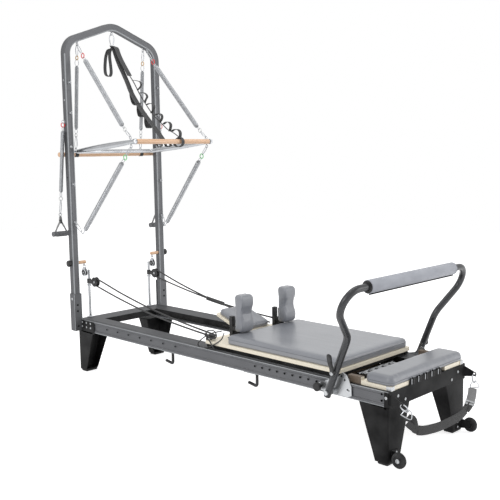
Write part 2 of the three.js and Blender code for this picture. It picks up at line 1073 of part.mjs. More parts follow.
function uprightProfile() {
  const x0 = uprightBack;
  const x1 = uprightFront;
  const y0 = -uprightOuter;
  const y1 = -uprightInner;
  const c = upright.chamfer;
  return outlineOf([
    [x0, y0],
    [x1 - c, y0],
    [x1, y0 + c],
    [x1, y1 - c],
    [x1 - c, y1],
    [x0, y1],
  ]);
}

const postMiddle = -(uprightInner + uprightOuter) / 2;
const frontEye = (z) => point(uprightFront, postMiddle, z);

function uprightSolid() {
  const shape = uprightProfile();
  const w = upright.wall;
  shape.holes.push(
    new THREE.Path(
      [
        [uprightBack + w, -uprightOuter + w],
        [uprightFront - w, -uprightOuter + w],
        [uprightFront - w, -uprightInner - w],
        [uprightBack + w, -uprightInner - w],
      ].map(([u, v]) => new THREE.Vector2(u, v)),
    ),
  );
  const tube = plateAlongZ(shape, upright.foot, splice);
  const eyes = [secondEyeZ, eyeHeights.third, eyeHeights.lowest].flatMap((z) =>
    eyebolt(frontEye(z), xAxis, yAxis),
  );
  const outerEye = eyebolt(point(upright.x, -uprightOuter, armSpringTop), point(0, -1, 0), xAxis);
  return fuse(tube, ...eyes, ...outerEye);
}
addPair("upright", uprightSolid(), anodised);

// The arch's band in the plane across the machine, offset to both sides of its centre line.
function archSolid() {
  const half = upright.width / 2;
  const side = (uprightInner + uprightOuter) / 2;
  const start = splice + clearance;
  const centre = stations(
    bentRoute(
      [
        point(0, -side, start),
        point(0, -side, archShoulder),
        point(0, 0, arch.peak),
        point(0, side, archShoulder),
        point(0, side, start),
      ],
      [arch.cornerRadius, arch.peakRadius, arch.cornerRadius],
    ),
    arch.arcSteps,
  );
  const offset = (distance) =>
    centre.map((p, i) => {
      const before = centre[Math.max(i - 1, 0)];
      const after = centre[Math.min(i + 1, centre.length - 1)];
      const along = after.clone().sub(before).normalize();
      return [p.y - along.z * distance, p.z + along.y * distance];
    });
  const outline = outlineOf([...offset(half), ...offset(-half).reverse()]);
  const band = plateAlongX(outline, uprightBack, uprightFront);
  const slope = (arch.peak - archShoulder) / side;
  const underside = (y) => archShoulder + slope * (side - Math.abs(y)) - half * Math.hypot(1, slope);
  const eyes = [1, -1].flatMap((way) => [
    ...eyebolt(point(rollDown.frontX, way * upperEyeY, underside(upperEyeY)), down, yAxis),
    ...eyebolt(point(rollDown.topX, way * rollEyeY, underside(rollEyeY)), down, yAxis),
    ...eyebolt(point(uprightFront, way * side, upperEyeZ), xAxis, yAxis),
  ]);
  const peakEye = eyebolt(point(upright.x, 0, underside(half)), down, yAxis);
  return { solid: fuse(band, ...eyes, ...peakEye), underside };
}
const archMade = archSolid();
add("arch", archMade.solid, anodised);

const upperEye = eyeCentre(point(rollDown.frontX, -upperEyeY, archMade.underside(upperEyeY)), down);
const rollDownEye = eyeCentre(point(rollDown.topX, -rollEyeY, archMade.underside(rollEyeY)), down);
const peakEye = eyeCentre(point(upright.x, 0, archMade.underside(upright.width / 2)), down);
const lowestEye = eyeCentre(frontEye(eyeHeights.lowest), xAxis);
const armEye = eyeCentre(point(upright.x, -uprightOuter, armSpringTop), point(0, -1, 0));

// Springs: a coil between two link rings that hook into eyes.

function coilPoints(from, to, sizes) {
  const along = to.clone().sub(from);
  const length = along.length();
  along.normalize();
  const across = yAxis.clone().addScaledVector(along, -yAxis.dot(along)).normalize();
  const second = along.clone().cross(across);
  const lead = 2 * sizes.wire;
  const rise = length - 4 * lead;
  const points = [from.clone(), from.clone().addScaledVector(along, lead)];
  const steps = sizes.curls * coilSteps;
  for (let i = 0; i <= steps; i += 1) {
    const angle = (turn * i) / coilSteps;
    points.push(
      from
        .clone()
        .addScaledVector(along, 2 * lead + (rise * i) / steps)
        .addScaledVector(across, sizes.radius * Math.cos(angle))
        .addScaledVector(second, sizes.radius * Math.sin(angle)),
    );
  }
  points.push(to.clone().addScaledVector(along, -lead), to.clone());
  return points;
}

const linkReach = (sizes) =>
  ringReach(eye.radius, eye.wire) + ringReach(sizes.link, sizes.linkWire) - linkPlay;

let leastCoilGap = Infinity;

function springSolid(topEye, topNormal, bottomEye, bottomNormal, sizes, knee = null) {
  const first = (knee ?? bottomEye).clone().sub(topEye).normalize();
  const last = bottomEye.clone().sub(knee ?? topEye).normalize();
  const topLink = topEye.clone().addScaledVector(first, linkReach(sizes));
  const bottomLink = bottomEye.clone().addScaledVector(last, -linkReach(sizes));
  const coilFrom = topLink.clone().addScaledVector(first, sizes.link + sizes.top);
  const shankEnd = bottomLink.clone().addScaledVector(last, -sizes.link);
  const coilTo = knee
    ? knee.clone().addScaledVector(first, -sizes.top)
    : shankEnd.clone().addScaledVector(last, -sizes.snap);
  const coil = coilPoints(coilFrom, coilTo, sizes);
  leastCoilGap = Math.min(leastCoilGap, leastGap(coil, sizes.wire, coilSteps / 2));
  const pieces = [
    torus(topLink, topNormal.clone().cross(first).normalize(), sizes.link, sizes.linkWire, first),
    rod(
      topLink.clone().addScaledVector(first, sizes.link),
      coilFrom.clone().addScaledVector(first, bite),
      sizes.shank,
      4,
    ),
    wireThrough(coil, sizes.wire, coilSides),
    torus(bottomLink, bottomNormal.clone().cross(last).normalize(), sizes.link, sizes.linkWire, last),
  ];
  if (knee) {
    pieces.push(rod(coilTo.clone().addScaledVector(first, -bite), knee, sizes.shank, 4));
    pieces.push(rod(knee.clone().addScaledVector(last, -sizes.shank / 2), shankEnd, sizes.shank, 4));
  } else {
    pieces.push(rod(coilTo.clone().addScaledVector(last, -bite), shankEnd, sizes.shank, 4));
  }
  return fuse(...pieces);
}

// Push-through bar: two arms and a back tube in one bent piece, with the beech bar between the collars.

const backCorner = point(upright.x, -pushBackY, pushBar.pivotZ);
const barEnd = point(pushBar.barX, -woodHalf - clearance - pushBar.tube, pushBar.barZ);
const mirrorPoint = (p) => point(p.x, -p.y, p.z);
const armDirection = barEnd.clone().sub(backCorner).normalize();
const armUp = yAxis.clone().cross(armDirection).normalize().negate();
const armEyeBase = barEnd.clone().addScaledVector(armDirection, -pushBar.eyeBack);
const armTopBase = armEyeBase.clone().addScaledVector(armUp, pushBar.tube - overrun);
const armLowBase = armEyeBase.clone().addScaledVector(armUp, overrun - pushBar.tube);
const armTopEye = eyeCentre(armTopBase, armUp);
const armLowEye = eyeCentre(armLowBase, armUp.clone().negate());

function pushFrame() {
  const tube = bentTube(
    [barEnd, backCorner, mirrorPoint(backCorner), mirrorPoint(barEnd)],
    [pushBar.bend, pushBar.bend],
    pushBar.tube,
    8,
    4,
  );
  const ends = [
    rod(
      point(upright.x, -pushBackY + pushBar.tube, pushBar.pivotZ),
      point(upright.x, -uprightInner + clearance, pushBar.pivotZ),
      pushBar.pin,
      8,
    ),
    rod(
      point(pushBar.barX, -woodHalf - clearance, pushBar.barZ),
      point(pushBar.barX, -woodHalf - clearance - pushBar.collarWidth, pushBar.barZ),
      pushBar.collar,
      12,
    ),
    rod(
      point(pushBar.barX, -woodHalf - pushBar.collarWidth / 2, pushBar.barZ),
      point(pushBar.barX, -woodHalf + pushBar.spindleDepth - overrun, pushBar.barZ),
      pushBar.spindle,
      6,
    ),
    ...eyebolt(armTopBase, armUp, yAxis),
    ...eyebolt(armLowBase, armUp.clone().negate(), yAxis),
  ];
  return fuse(tube, ...ends, ...ends.map(mirrored));
}
add("push_through_frame", pushFrame(), chrome);

function beechBar() {
  const { barX, barZ } = pushBar;
  const bar = crossRod(barX, barZ, -woodHalf, woodHalf, pushBar.wood, 16);
  const holes = [-1, 1].map((way) => {
    const depth = way * (woodHalf - pushBar.spindleDepth);
    return crossRod(barX, barZ, way * (woodHalf + overrun), depth, pushBar.spindleBore, 10);
  });
  return cut(bar, ...holes);
}
add("push_through_bar", beechBar(), beech);

addPair("upper_spring", springSolid(upperEye, yAxis, armTopEye, yAxis, spring), chrome);
const lowerKnee = point(
  uprightFront + spring.snap,
  (2 * lowestEye.y + barEnd.y) / 3,
  eyeHeights.lowest - spring.snap - spring.top / 2,
);
addPair("lower_spring", springSolid(armLowEye, yAxis, lowestEye, yAxis, spring, lowerKnee), chrome);

// Roll-down bar behind the uprights

const rollBarEye = eyeCentre(point(rollDown.x, -rollEyeY, rollDownZ + rollDown.clamp - overrun), zAxis);

function rollDownBar() {
  const { x } = rollDown;
  const z = rollDownZ;
  const bar = crossRod(x, z, -rollHalf, rollHalf, rollDown.radius, 10);
  const clamps = [-1, 1].flatMap((way) => {
    const y = way * rollEyeY;
    const reach = rollDown.clampWidth / 2;
    return [
      crossRod(x, z, y - reach, y + reach, rollDown.clamp, 10),
      ...eyebolt(point(x, y, z + rollDown.clamp - overrun), zAxis, yAxis),
    ];
  });
  return fuse(bar, ...clamps);
}
add("roll_down_bar", rollDownBar(), beech);
addPair("roll_down_spring", springSolid(rollDownEye, yAxis, rollBarEye, yAxis, slimSpring), chrome);

// Arm springs and strap handles on the uprights' outer faces

const handleEye = point(armSpring.bottomX, armEye.y, armSpringLow);
addPair("arm_spring", springSolid(armEye, xAxis, handleEye, xAxis, slimSpring), chrome);

function strapHandle() {
  const ringCentre = handleEye;
  const low = gripZ;
  const top = ringCentre.z - eye.radius - eye.wire / 2;
  const shape = new THREE.Shape();
  const y = ringCentre.y;
  shape.moveTo(y - handle.gripHalf, low);
  shape.lineTo(y + handle.gripHalf, low);
  shape.lineTo(y + handle.neckHalf, top);
  shape.lineTo(y - handle.neckHalf, top);
  const inner = new THREE.Path();
  inner.moveTo(y - handle.gripHalf + 2 * handle.webbing, low + handle.grip / 2);
  inner.lineTo(y + handle.gripHalf - 2 * handle.webbing, low + handle.grip / 2);
  inner.lineTo(y + handle.neckHalf / 2, top - handle.width / 2);
  inner.lineTo(y - handle.neckHalf / 2, top - handle.width / 2);
  shape.holes.push(inner);
  const strap = plateAlongX(shape, ringCentre.x - handle.width / 2, ringCentre.x + handle.width / 2);
  return fuse(
    strap,
    crossRod(ringCentre.x, low, y - handle.gripHalf, y + handle.gripHalf, handle.grip, 12),
    torus(ringCentre, xAxis, eye.radius, eye.wire, down),
    rod(point(ringCentre.x, y, top - bite), point(ringCentre.x, y, top + eye.wire), handle.neckHalf, 6),
  );
}
addPair("strap_handle", strapHandle(), webbing);

// Wooden pegs with knobs, and the swivel pulleys that hang from them

const pegEyeY = -pegTip - peg.radius - peg.eyeWire;
const pegEye = point(upright.x, pegEyeY, peg.z - peg.radius - peg.eyeRadius + peg.flat);

// Turned outlines: shares of the radius and of the length.
const pegShares = [
  [0, 0],
  [1, 0],
  [1, 0.86],
  [0.8, 0.96],
  [0, 1],
];
const knobShares = [
  [0, 0],
  [0.6, 0],
  [1, 0.35],
  [1, 0.75],
  [0.8, 1],
  [0, 1],
];

function pegWithKnob() {
  const z = peg.z;
  const x = upright.x;
  const tip = -pegTip;
  return fuse(
    turned(
      pegShares.map(([wide, long]) => [wide * peg.radius, long * (tip + uprightInner - clearance)]),
      point(x, -uprightInner + clearance, z),
      yAxis,
      10,
    ),
    rod(
      point(x, -uprightInner + clearance + bite, z),
      point(x, -uprightOuter - peg.knobWidth / 2, z),
      peg.stud,
      8,
    ),
    turned(
      knobShares.map(([wide, long]) => [wide * peg.knob, clearance + long * peg.knobWidth]),
      point(x, -uprightOuter, z),
      point(0, -1, 0),
      10,
    ),
    torus(pegEye, yAxis, peg.eyeRadius, peg.eyeWire, down),
  );
}

// The stud passes through the upright, so the upright gets its hole.
const pegBore = rod(
  point(upright.x, -uprightInner + overrun, peg.z),
  point(upright.x, -uprightOuter - overrun, peg.z),
  peg.stud + peg.hole,
  8,
);
for (const name of ["upright_left", "upright_right"]) {
  const mesh = object.getObjectByName(name);
  mesh.geometry = cut(mesh.geometry, name.endsWith("left") ? pegBore : mirrored(pegBore));
}
addPair("peg_knob", pegWithKnob(), blackPlastic);

function swivelPulley() {
  const eyeReach = ringReach(peg.eyeRadius, peg.eyeWire);
  const reach = eyeReach + ringReach(swivel.bow, swivel.bowWire) - clearance;
  const bow = pegEye.clone().addScaledVector(down, reach);
  const bodyTop = bow.z - swivel.bow + swivel.bowWire / 2;
  const centre = point(upright.x, pegEyeY, bodyTop - swivel.neck - swivel.height / 2);
  const half = swivel.gap / 2;
  const cheek = (y0, y1) => {
    const shape = new THREE.Shape();
    shape.moveTo(centre.x - swivel.width / 2, centre.z);
    shape.absarc(centre.x, centre.z - swivel.height / 8, swivel.width / 2, turn / 2, 0, false);
    shape.lineTo(centre.x + swivel.neck, bodyTop);
    shape.lineTo(centre.x - swivel.neck, bodyTop);
    return plateAlongY(shape, y0, y1);
  };
  const y = centre.y;
  const hub = point(centre.x, y, centre.z - swivel.height / 8);
  return fuse(
    torus(bow, xAxis, swivel.bow, swivel.bowWire, down),
    cheek(y - half - swivel.cheek, y - half),
    cheek(y + half, y + half + swivel.cheek),
    block(
      centre.x - swivel.neck,
      centre.x + swivel.neck,
      y - half - bite,
      y + half + bite,
      bodyTop - swivel.neck,
      bodyTop,
    ),
    rod(point(hub.x, y - half - bite, hub.z), point(hub.x, y + half + bite, hub.z), swivel.sheave, 10),
  );
}
addPair("swivel_pulley", swivelPulley(), blackPlastic);

// Risers on the rails and the rope pulleys that they carry

const riserBase = point(riser.x, -riserY, frame.railTop + clearance);
add(
  "riser_left",
  fuse(
    rod(riserBase, point(riser.x, -riserY, riserTop), riser.radius, 8),
    rod(riserBase, riserBase.clone().addScaledVector(zAxis, riser.baseHeight), riser.base, 10),
    rod(
      point(riser.x, -riserY, pulley.height - pulley.clampHeight / 2 - clearance),
      point(riser.x, -riserY, pulley.height - pulley.clampHeight / 2 - clearance - riser.collarHeight),
      riser.collar,
      10,
    ),
  ),
  chrome,
);
add("riser_right", mirrored(object.getObjectByName("riser_left").geometry), chrome);

const sheaveCentre = point(riser.x + pulley.reach, -riserY, pulley.height);

function pulleyHousing() {
  const half = pulley.sheaveWidth / 2 + pulley.gap;
  const clampHalf = pulley.clampHeight / 2;
  const cheek = (y0, y1) => {
    const shape = new THREE.Shape();
    shape.moveTo(riser.x + pulley.clampBore, pulley.height - clampHalf);
    shape.lineTo(sheaveCentre.x, pulley.height - pulley.outline);
    shape.absarc(sheaveCentre.x, pulley.height, pulley.outline, -turn / 4, turn / 4, false);
    shape.lineTo(riser.x + pulley.clampBore, pulley.height + clampHalf);
    return plateAlongY(shape, y0, y1);
  };
  const y = -riserY;
  const clamp = rod(
    point(riser.x, y, pulley.height - clampHalf),
    point(riser.x, y, pulley.height + clampHalf),
    pulley.clamp,
    10,
  );
  const neck = block(
    riser.x,
    riser.x + pulley.clamp + pulley.neck,
    y - half - bite,
    y + half + bite,
    pulley.height - clampHalf,
    pulley.height + clampHalf,
  );
  const axle = rod(
    point(sheaveCentre.x, y - half - pulley.cheek, pulley.height),
    point(sheaveCentre.x, y + half + pulley.cheek, pulley.height),
    pulley.axle,
    8,
  );
  const bore = rod(
    point(riser.x, y, pulley.height - clampHalf - overrun),
    point(riser.x, y, pulley.height + clampHalf + overrun),
    pulley.clampBore,
    10,
  );
  const cheeks = [cheek(y - half - pulley.cheek, y - half), cheek(y + half, y + half + pulley.cheek)];
  return cut(fuse(clamp, neck, ...cheeks, axle), bore);
}
addPair("pulley_housing", pulleyHousing(), blackPlastic);

function ropeSheave() {
  const half = pulley.sheaveWidth / 2;
  const floor = rope.radius + clearance;
  return turned(
    [
      [pulley.bore, -half],
      [pulley.sheave, -half],
      [pulley.groove, -floor],
      [pulley.groove, floor],
      [pulley.sheave, half],
      [pulley.bore, half],
      [pulley.bore, -half],
    ],
    sheaveCentre,
    yAxis,
    12,
  );
}
addPair("rope_sheave", ropeSheave(), blackPlastic);

// Ropes: from loops round the carriage's stud, round the sheave and back to the carriage.

const sagShares = [0.25, 0.5, 0.75];
const sagging = (from, to) =>
  sagShares.map((share) => {
    const drop = rope.sag * Math.sin(Math.PI * share);
    return from.clone().lerp(to, share).addScaledVector(down, drop);
  });

function ropePoints(withLoops) {
  const around = pulley.groove + rope.radius + clearance;
  const seat = boardTop + clearance + rope.radius;
  const studAt = point(studX, -studY, seat);
  const points = [];
  const loopTurns = withLoops ? rope.loops : 1;
  const steps = withLoops ? 24 : 8;
  for (let i = 0; i <= loopTurns * steps; i += 1) {
    const angle = (turn * i) / steps - turn / 4;
    points.push(
      point(
        studAt.x - rope.loopLong * Math.cos(angle),
        studAt.y + rope.loopShort * Math.sin(angle),
        seat + (i / steps) * rope.loopRise,
      ),
    );
  }
  const lowStart = points[points.length - 1];
  const leave = point(sheaveCentre.x, sheaveCentre.y, sheaveCentre.z - around);
  points.push(...sagging(lowStart, leave));
  const wraps = 6;
  for (let i = 0; i <= wraps; i += 1) {
    const angle = -turn / 4 - (turn / 2) * (i / wraps);
    const ahead = around * Math.cos(angle);
    const above = around * Math.sin(angle);
    points.push(sheaveCentre.clone().add(point(ahead, 0, above)));
  }
  const top = points[points.length - 1];
  const end = point(studX - stud.height, -studY + rope.endAside, seat + rope.endLift);
  points.push(...sagging(top, end), end);
  return points;
}
const leftRope = ropePoints(true);
console.log("least gap of a rope to itself", leastGap(leftRope, rope.radius, 12).toFixed(2));
add("rope_left", wireThrough(leftRope, rope.radius, rope.sides), webbing);
add("rope_right", mirrored(wireThrough(ropePoints(false), rope.radius, rope.sides)), webbing);

// Carriage: under-frame with posts and studs, axles with wheels, board and pads

function underFrame() {
  const low = frame.railTop + 2 * clearance + overrun;
  const high = carriage.boardBottom - clearance;
  const out = carriageHalf - carriage.sideInset;
  const from = carriageHead + carriage.sideInset;
  const to = carriageFoot - carriage.sideInset;
  const sideBars = [-1, 1].map((way) =>
    block(from, to, way * out, way * (out - carriage.sideBar), low, high),
  );
  const crosses = [frontCross, rearCross, anchorCross].map((x) =>
    block(x, x + carriage.crossWidth, -out, out, low, high),
  );
  const hangers = [frontCross, rearCross].flatMap((x) =>
    [-1, 1].map((way) => {
      const inner = way * hangerHalf;
      const middle = x + carriage.crossWidth + wheel.lead;
      return block(
        x,
        middle + carriage.hangerReach,
        inner,
        inner + way * carriage.hangerSheet,
        low - carriage.hangerDrop,
        high,
      );
    }),
  );
  const bores = [frontCross, rearCross].map((x) => {
    const middle = x + carriage.crossWidth + wheel.lead;
    return rod(
      point(middle, -carriageHalf, axleHeight),
      point(middle, carriageHalf, axleHeight),
      wheel.bore,
      8,
    );
  });
  const posts = [-1, 1].flatMap((way) => {
    const y = way * postY;
    const half = post.size / 2;
    const shape = new THREE.Shape();
    const front = postX - half + bite;
    const base = boardTop + clearance;
    shape.moveTo(front, base);
    shape.lineTo(front, base + post.gussetRise);
    shape.lineTo(front - post.gussetReach, base + post.gussetRise);
    shape.quadraticCurveTo(front - half, base + post.gussetRise - half / 2, front - half, base);
    return [
      block(postX - half, postX + half, y - half, y + half, low, post.top),
      plateAlongY(shape, y - post.gussetSheet / 2, y + post.gussetSheet / 2),
    ];
  });
  const reach = post.size / 2;
  const tie = block(postX - reach, postX + reach, -postY, postY, low, (low + high) / 2);
  const studs = [-1, 1].flatMap((way) => {
    const y = way * studY;
    const top = boardTop + stud.height;
    return [
      rod(point(studX, y, low), point(studX, y, top - bite), stud.radius, 6),
      rod(point(studX, y, top - stud.headHeight), point(studX, y, top), stud.head, 8),
      block(studX - stud.head, studX + stud.head, y - stud.head, y + stud.head, low, high),
    ];
  });
  return cut(fuse(...sideBars, ...crosses, ...hangers, ...posts, tie, ...studs), ...bores);
}
add("carriage_frame", underFrame(), blackCoat);

function wheelSet(crossX) {
  const x = crossX + carriage.crossWidth + wheel.lead;
  const axle = rod(
    point(x, -wheelInner - wheel.width, axleHeight),
    point(x, wheelInner + wheel.width, axleHeight),
    wheel.axle,
    8,
  );
  const wheels = [-1, 1].map((way) =>
    turned(
      [
        [0, 0],
        [wheel.radius - wheel.crown, 0],
        [wheel.radius, wheel.crown],
        [wheel.radius, wheel.width - wheel.crown],
        [wheel.radius - wheel.crown, wheel.width],
        [0, wheel.width],
      ],
      point(x, way * wheelInner, axleHeight),
      point(0, way, 0),
      14,
    ),
  );
  return fuse(axle, ...wheels);
}
add("carriage_wheels_head", wheelSet(frontCross), blackPlastic);
add("carriage_wheels_foot", wheelSet(rearCross), blackPlastic);

function roundedBoard(x0, x1, half, z0, z1, corner) {
  const ring = (z) => roundedRing(x0, x1, -half, half, z, corner, 0);
  return loft([ring(z0), ring(z1)], seenFromAbove(ring(z0)));
}

function carriageBoard() {
  const board = roundedBoard(
    carriageHead,
    carriageFoot,
    carriageHalf,
    carriage.boardBottom,
    boardTop,
    carriage.corner,
  );
  const reach = post.size / 2 + post.bore;
  const low = carriage.boardBottom - overrun;
  const high = boardTop + overrun;
  const holes = [-1, 1].flatMap((way) => [
    block(postX - reach, postX + reach, way * postY - reach, way * postY + reach, low, high),
    rod(point(studX, way * studY, low), point(studX, way * studY, high), stud.bore, 10),
  ]);
  return cut(board, ...holes);
}
add("carriage_board", carriageBoard(), plywood);

add(
  "carriage_pad",
  cushion({
    x0: padHead,
    x1: padFoot,
    y0: -padHalf,
    y1: padHalf,
    z0: boardTop + clearance,
    height: pad.height,
    corner: pad.corner,
    drawIn: pad.drawIn,
  }),
  vinyl,
);

// Shoulder rests: a flat back and a front with a waist between two lobes, softened towards both sides.
const restProfileShares = [
  [0, 0.05],
  [0.1, 0],
  [0.72, 0],
  [0.92, 0.04],
  [1, 0.13],
  [0.98, 0.24],
  [0.86, 0.37],
  [0.78, 0.5],
  [0.84, 0.62],
  [0.96, 0.74],
  [1, 0.85],
  [0.94, 0.96],
  [0.76, 1],
  [0.12, 1],
  [0, 0.95],
];
const restSideShares = [
  [0, 0.84],
  [0.05, 0.95],
  [0.14, 1],
  [0.86, 1],
  [0.95, 0.95],
  [1, 0.84],
];

function shoulderRest() {
  const back = postX + post.size / 2 + rest.seat;
  const middleX = back + rest.depth / 2;
  const middleZ = rest.bottom + rest.height / 2;
  const rings = restSideShares.map(([across, size]) =>
    restProfileShares.map(([u, v]) =>
      point(
        middleX + size * (back + u * rest.depth - middleX),
        -postY + rest.halfWidth * (2 * across - 1),
        middleZ + size * (rest.bottom + v * rest.height - middleZ),
      ),
    ),
  );
  return loft(rings, seenFromSide(rings[0]));
}
addPair("shoulder_rest", shoulderRest(), vinyl);

// Headrest: board and pad lean up together about the barrel at their foot end.

const headrestHinge = point(hingeX, 0, boardTop + clearance + headrest.barrel);

function headrestPieces() {
  const bottom = headrest.barrel - bite;
  const board = roundedBoard(
    -headrest.length,
    0,
    headrestHalf,
    bottom,
    bottom + headrest.board,
    headrest.corner / 2,
  );
  const barrel = rod(
    point(0, -headrestHalf, 0),
    point(0, headrestHalf, 0),
    headrest.barrel,
    12,
  );
  const web = block(
    -headrest.webLength,
    0,
    -headrestHalf + headrest.web,
    headrestHalf - headrest.web,
    0,
    bottom + bite,
  );
  const soft = cushion({
    x0: -headrest.length + headrest.padInset,
    x1: -headrest.padInset,
    y0: -headrestHalf + headrest.padInset,
    y1: headrestHalf - headrest.padInset,
    z0: bottom + headrest.board + clearance,
    height: headrest.pad,
    corner: headrest.corner,
    drawIn: headrest.padInset,
  });
  const raised = (geometry) =>
    geometry
      .applyMatrix4(new THREE.Matrix4().makeRotationY(headrest.tilt * radian))
      .translate(headrestHinge.x, headrestHinge.y, headrestHinge.z);
  return { board: raised(fuse(board, barrel, web)), soft: raised(soft) };
}
const headrestMade = headrestPieces();
add("headrest_board", headrestMade.board, plywood);
add("headrest_pad", headrestMade.soft, vinyl);

// Foot platform with its pad, spring bar and carriage springs

function platformBoard() {
  const low = frame.railTop + clearance;
  const high = low + platform.board;
  const foot = beamBack;
  const half = platformHalf;
  const board = block(platformHead, foot, -half, half, low, high);
  const slot = block(
    foot - platform.slotDepth,
    foot + overrun,
    -slotHalf,
    slotHalf,
    low - overrun,
    high + overrun,
  );
  const corners = [-1, 1].map((way) =>
    block(
      foot - platform.corner,
      foot + platform.cornerProud,
      way * (half - platform.corner),
      way * (half + platform.cornerProud),
      low,
      high - bite,
    ),
  );
  const runners = [-1, 1].map((way) =>
    block(
      platformHead - platform.runnerLength,
      platformHead + bite,
      way * half,
      way * (half - platform.runnerWidth),
      low,
      low + platform.runnerHeight,
    ),
  );
  return cut(fuse(board, ...corners, ...runners), slot);
}
add("platform_board", platformBoard(), plywood);

add(
  "platform_pad",
  cushion({
    x0: platformPadHead,
    x1: frame.length + platform.padOver,
    y0: -platformPadHalf,
    y1: platformPadHalf,
    z0: frame.railTop + 2 * clearance + platform.board,
    height: platform.pad,
    corner: platform.padCorner,
    drawIn: pad.drawIn,
  }),
  vinyl,
);

function springBarSolid() {
  const ears = [-1, 1].map((way) =>
    block(
      springBarX - springBar.earHeight / 2,
      frame.length,
      way * springBarHalf,
      way * (springBarHalf - springBar.ear),
      springBar.z - springBar.earHeight / 2,
      springBar.z + springBar.radius + bite,
    ),
  );
  return fuse(
    rod(
      point(springBarX, -springBarHalf, springBar.z),
      point(springBarX, springBarHalf, springBar.z),
      springBar.radius,
      12,
    ),
    ...ears,
  );
}
add("spring_bar", springBarSolid(), blackCoat);

function carriageSprings() {
  const z = springBar.z;
  const hookStep = turn / 8;
  const around = (springBar.radius + clearance + carriageSpring.hook) / Math.cos(hookStep / 2);
  const hookX = springBarX - around;
  const pieces = [-2, -1, 0, 1, 2].flatMap((place) => {
    const y = place * springSpacing;
    const bend = [4, 3, 2, 1, 0].map((step) =>
      point(
        springBarX + around * Math.cos(step * hookStep),
        y,
        z + around * Math.sin(step * hookStep),
      ),
    );
    return [
      rod(
        point(springAnchorX, y, z),
        point(hookX - carriageSpring.hookReach, y, z),
        carriageSpring.radius,
        6,
      ),
      wireThrough(
        [point(hookX - carriageSpring.hookReach - bite, y, z), ...bend],
        carriageSpring.hook,
        4,
      ),
    ];
  });
  const anchor = rod(
    point(springAnchorX, -slotHalf, z),
    point(springAnchorX, slotHalf, z),
    carriageSpring.anchor,
    8,
  );
  return fuse(anchor, ...pieces);
}
add("carriage_springs", carriageSprings(), steel);

// Footbar: bent tube in its own leaning plane, foam roller, brackets, levers and knob

const pivot = point(pivotX, 0, footbar.pivotZ);
const armWay = point(Math.cos(footbar.lean * radian), 0, Math.sin(footbar.lean * radian));
const inPlane = (along, y) => pivot.clone().addScaledVector(armWay, along).setY(y);

function footbarTube() {
  const half = [
    inPlane(-footbar.tail, -footbarBase),
    inPlane(footbar.knee, -footbarBase),
    inPlane(footbar.axis, -footbarShoulder),
  ];
  const tube = bentTube(
    [...half, ...half.map(mirrorPoint).reverse()],
    [footbar.kneeRadius, footbar.shoulderRadius, footbar.shoulderRadius, footbar.kneeRadius],
    footbar.tube,
    8,
    4,
  );
  const caps = [-1, 1].map((way) =>
    rod(
      inPlane(footbar.axis, way * (foamHalf + clearance)),
      inPlane(footbar.axis, way * (foamHalf + clearance + footbar.capWidth)),
      footbar.capRadius,
      16,
    ),
  );
  const reach = footbarBase + footbar.tube + overrun;
  const bores = [-1, 1].flatMap((way) => [
    rod(
      inPlane(0, way * (footbarBase - footbar.tube - overrun)),
      inPlane(0, way * reach),
      footbar.boltBore,
      8,
    ),
    rod(
      inPlane(footbar.leverHole, way * (footbarBase - footbar.tube - overrun)),
      inPlane(footbar.leverHole, way * (reach + overrun * 2)),
      lever.pin + lever.bore,
      8,
    ),
  ]);
  return cut(fuse(tube, ...caps), ...bores);
}
add("footbar_tube", footbarTube(), charcoalGloss);

add(
  "footbar_roller",
  turned(
    [
      [footbar.tube + foam.bore, -foamHalf],
      [foam.radius - foam.bevel, -foamHalf],
      [foam.radius, -foamHalf + foam.bevel],
      [foam.radius, foamHalf - foam.bevel],
      [foam.radius - foam.bevel, foamHalf],
      [footbar.tube + foam.bore, foamHalf],
      [footbar.tube + foam.bore, -foamHalf],
    ],
    inPlane(footbar.axis, 0),
    yAxis,
    18,
  ),
  vinyl,
);

// The bracket's outline as places from the pivot, in shares of the reach to its locking holes.
const bracketShares = [
  [-0.95, 0.22],
  [-0.3, 0.5],
  [0.2, 0.62],
  [0.58, 1.02],
  [0.8, 0.92],
  [0.98, 0.7],
  [1.12, 0.4],
  [1.14, -0.05],
  [0.9, -0.17],
  [-0.2, -0.17],
  [-0.95, -0.1],
];
const lockAngles = [50, 10];

const plateInner = outerFace + clearance;
const plateOuter = plateInner + bracket.sheet;

function footbarBracket() {
  const outline = bracketShares.map(([u, v]) => [
    pivot.x + u * bracket.holeReach,
    pivot.z + v * bracket.holeReach,
  ]);
  const plate = plateAlongY(outlineOf(outline), -plateInner, -plateOuter);
  const boss = rod(
    point(pivot.x, -plateOuter + bite, pivot.z),
    point(pivot.x, -footbarBase + footbar.tube + clearance, pivot.z),
    bracket.boss,
    12,
  );
  const outer = footbarBase + footbar.tube + clearance;
  const bolt = crossRod(pivot.x, pivot.z, -plateOuter, -outer - bite, footbar.bolt, 8);
  const head = crossRod(pivot.x, pivot.z, -outer, -outer - footbar.headHeight, footbar.boltHead, 8);
  const holes = lockAngles.map((angle) => {
    const x = pivot.x + bracket.holeReach * Math.cos(angle * radian);
    const z = pivot.z + bracket.holeReach * Math.sin(angle * radian);
    return crossRod(x, z, -plateInner + overrun, -plateOuter - overrun, bracket.holeRadius, 6);
  });
  const pullBore = knob.stem + knob.bore;
  const pull = crossRod(knobX, knob.z, -plateInner + overrun, -plateOuter - overrun, pullBore, 8);
  return cut(fuse(plate, boss, bolt, head), ...holes, pull);
}
addPair("footbar_bracket", footbarBracket(), stainless);

const leverRoot = inPlane(footbar.leverHole, -footbarBase);

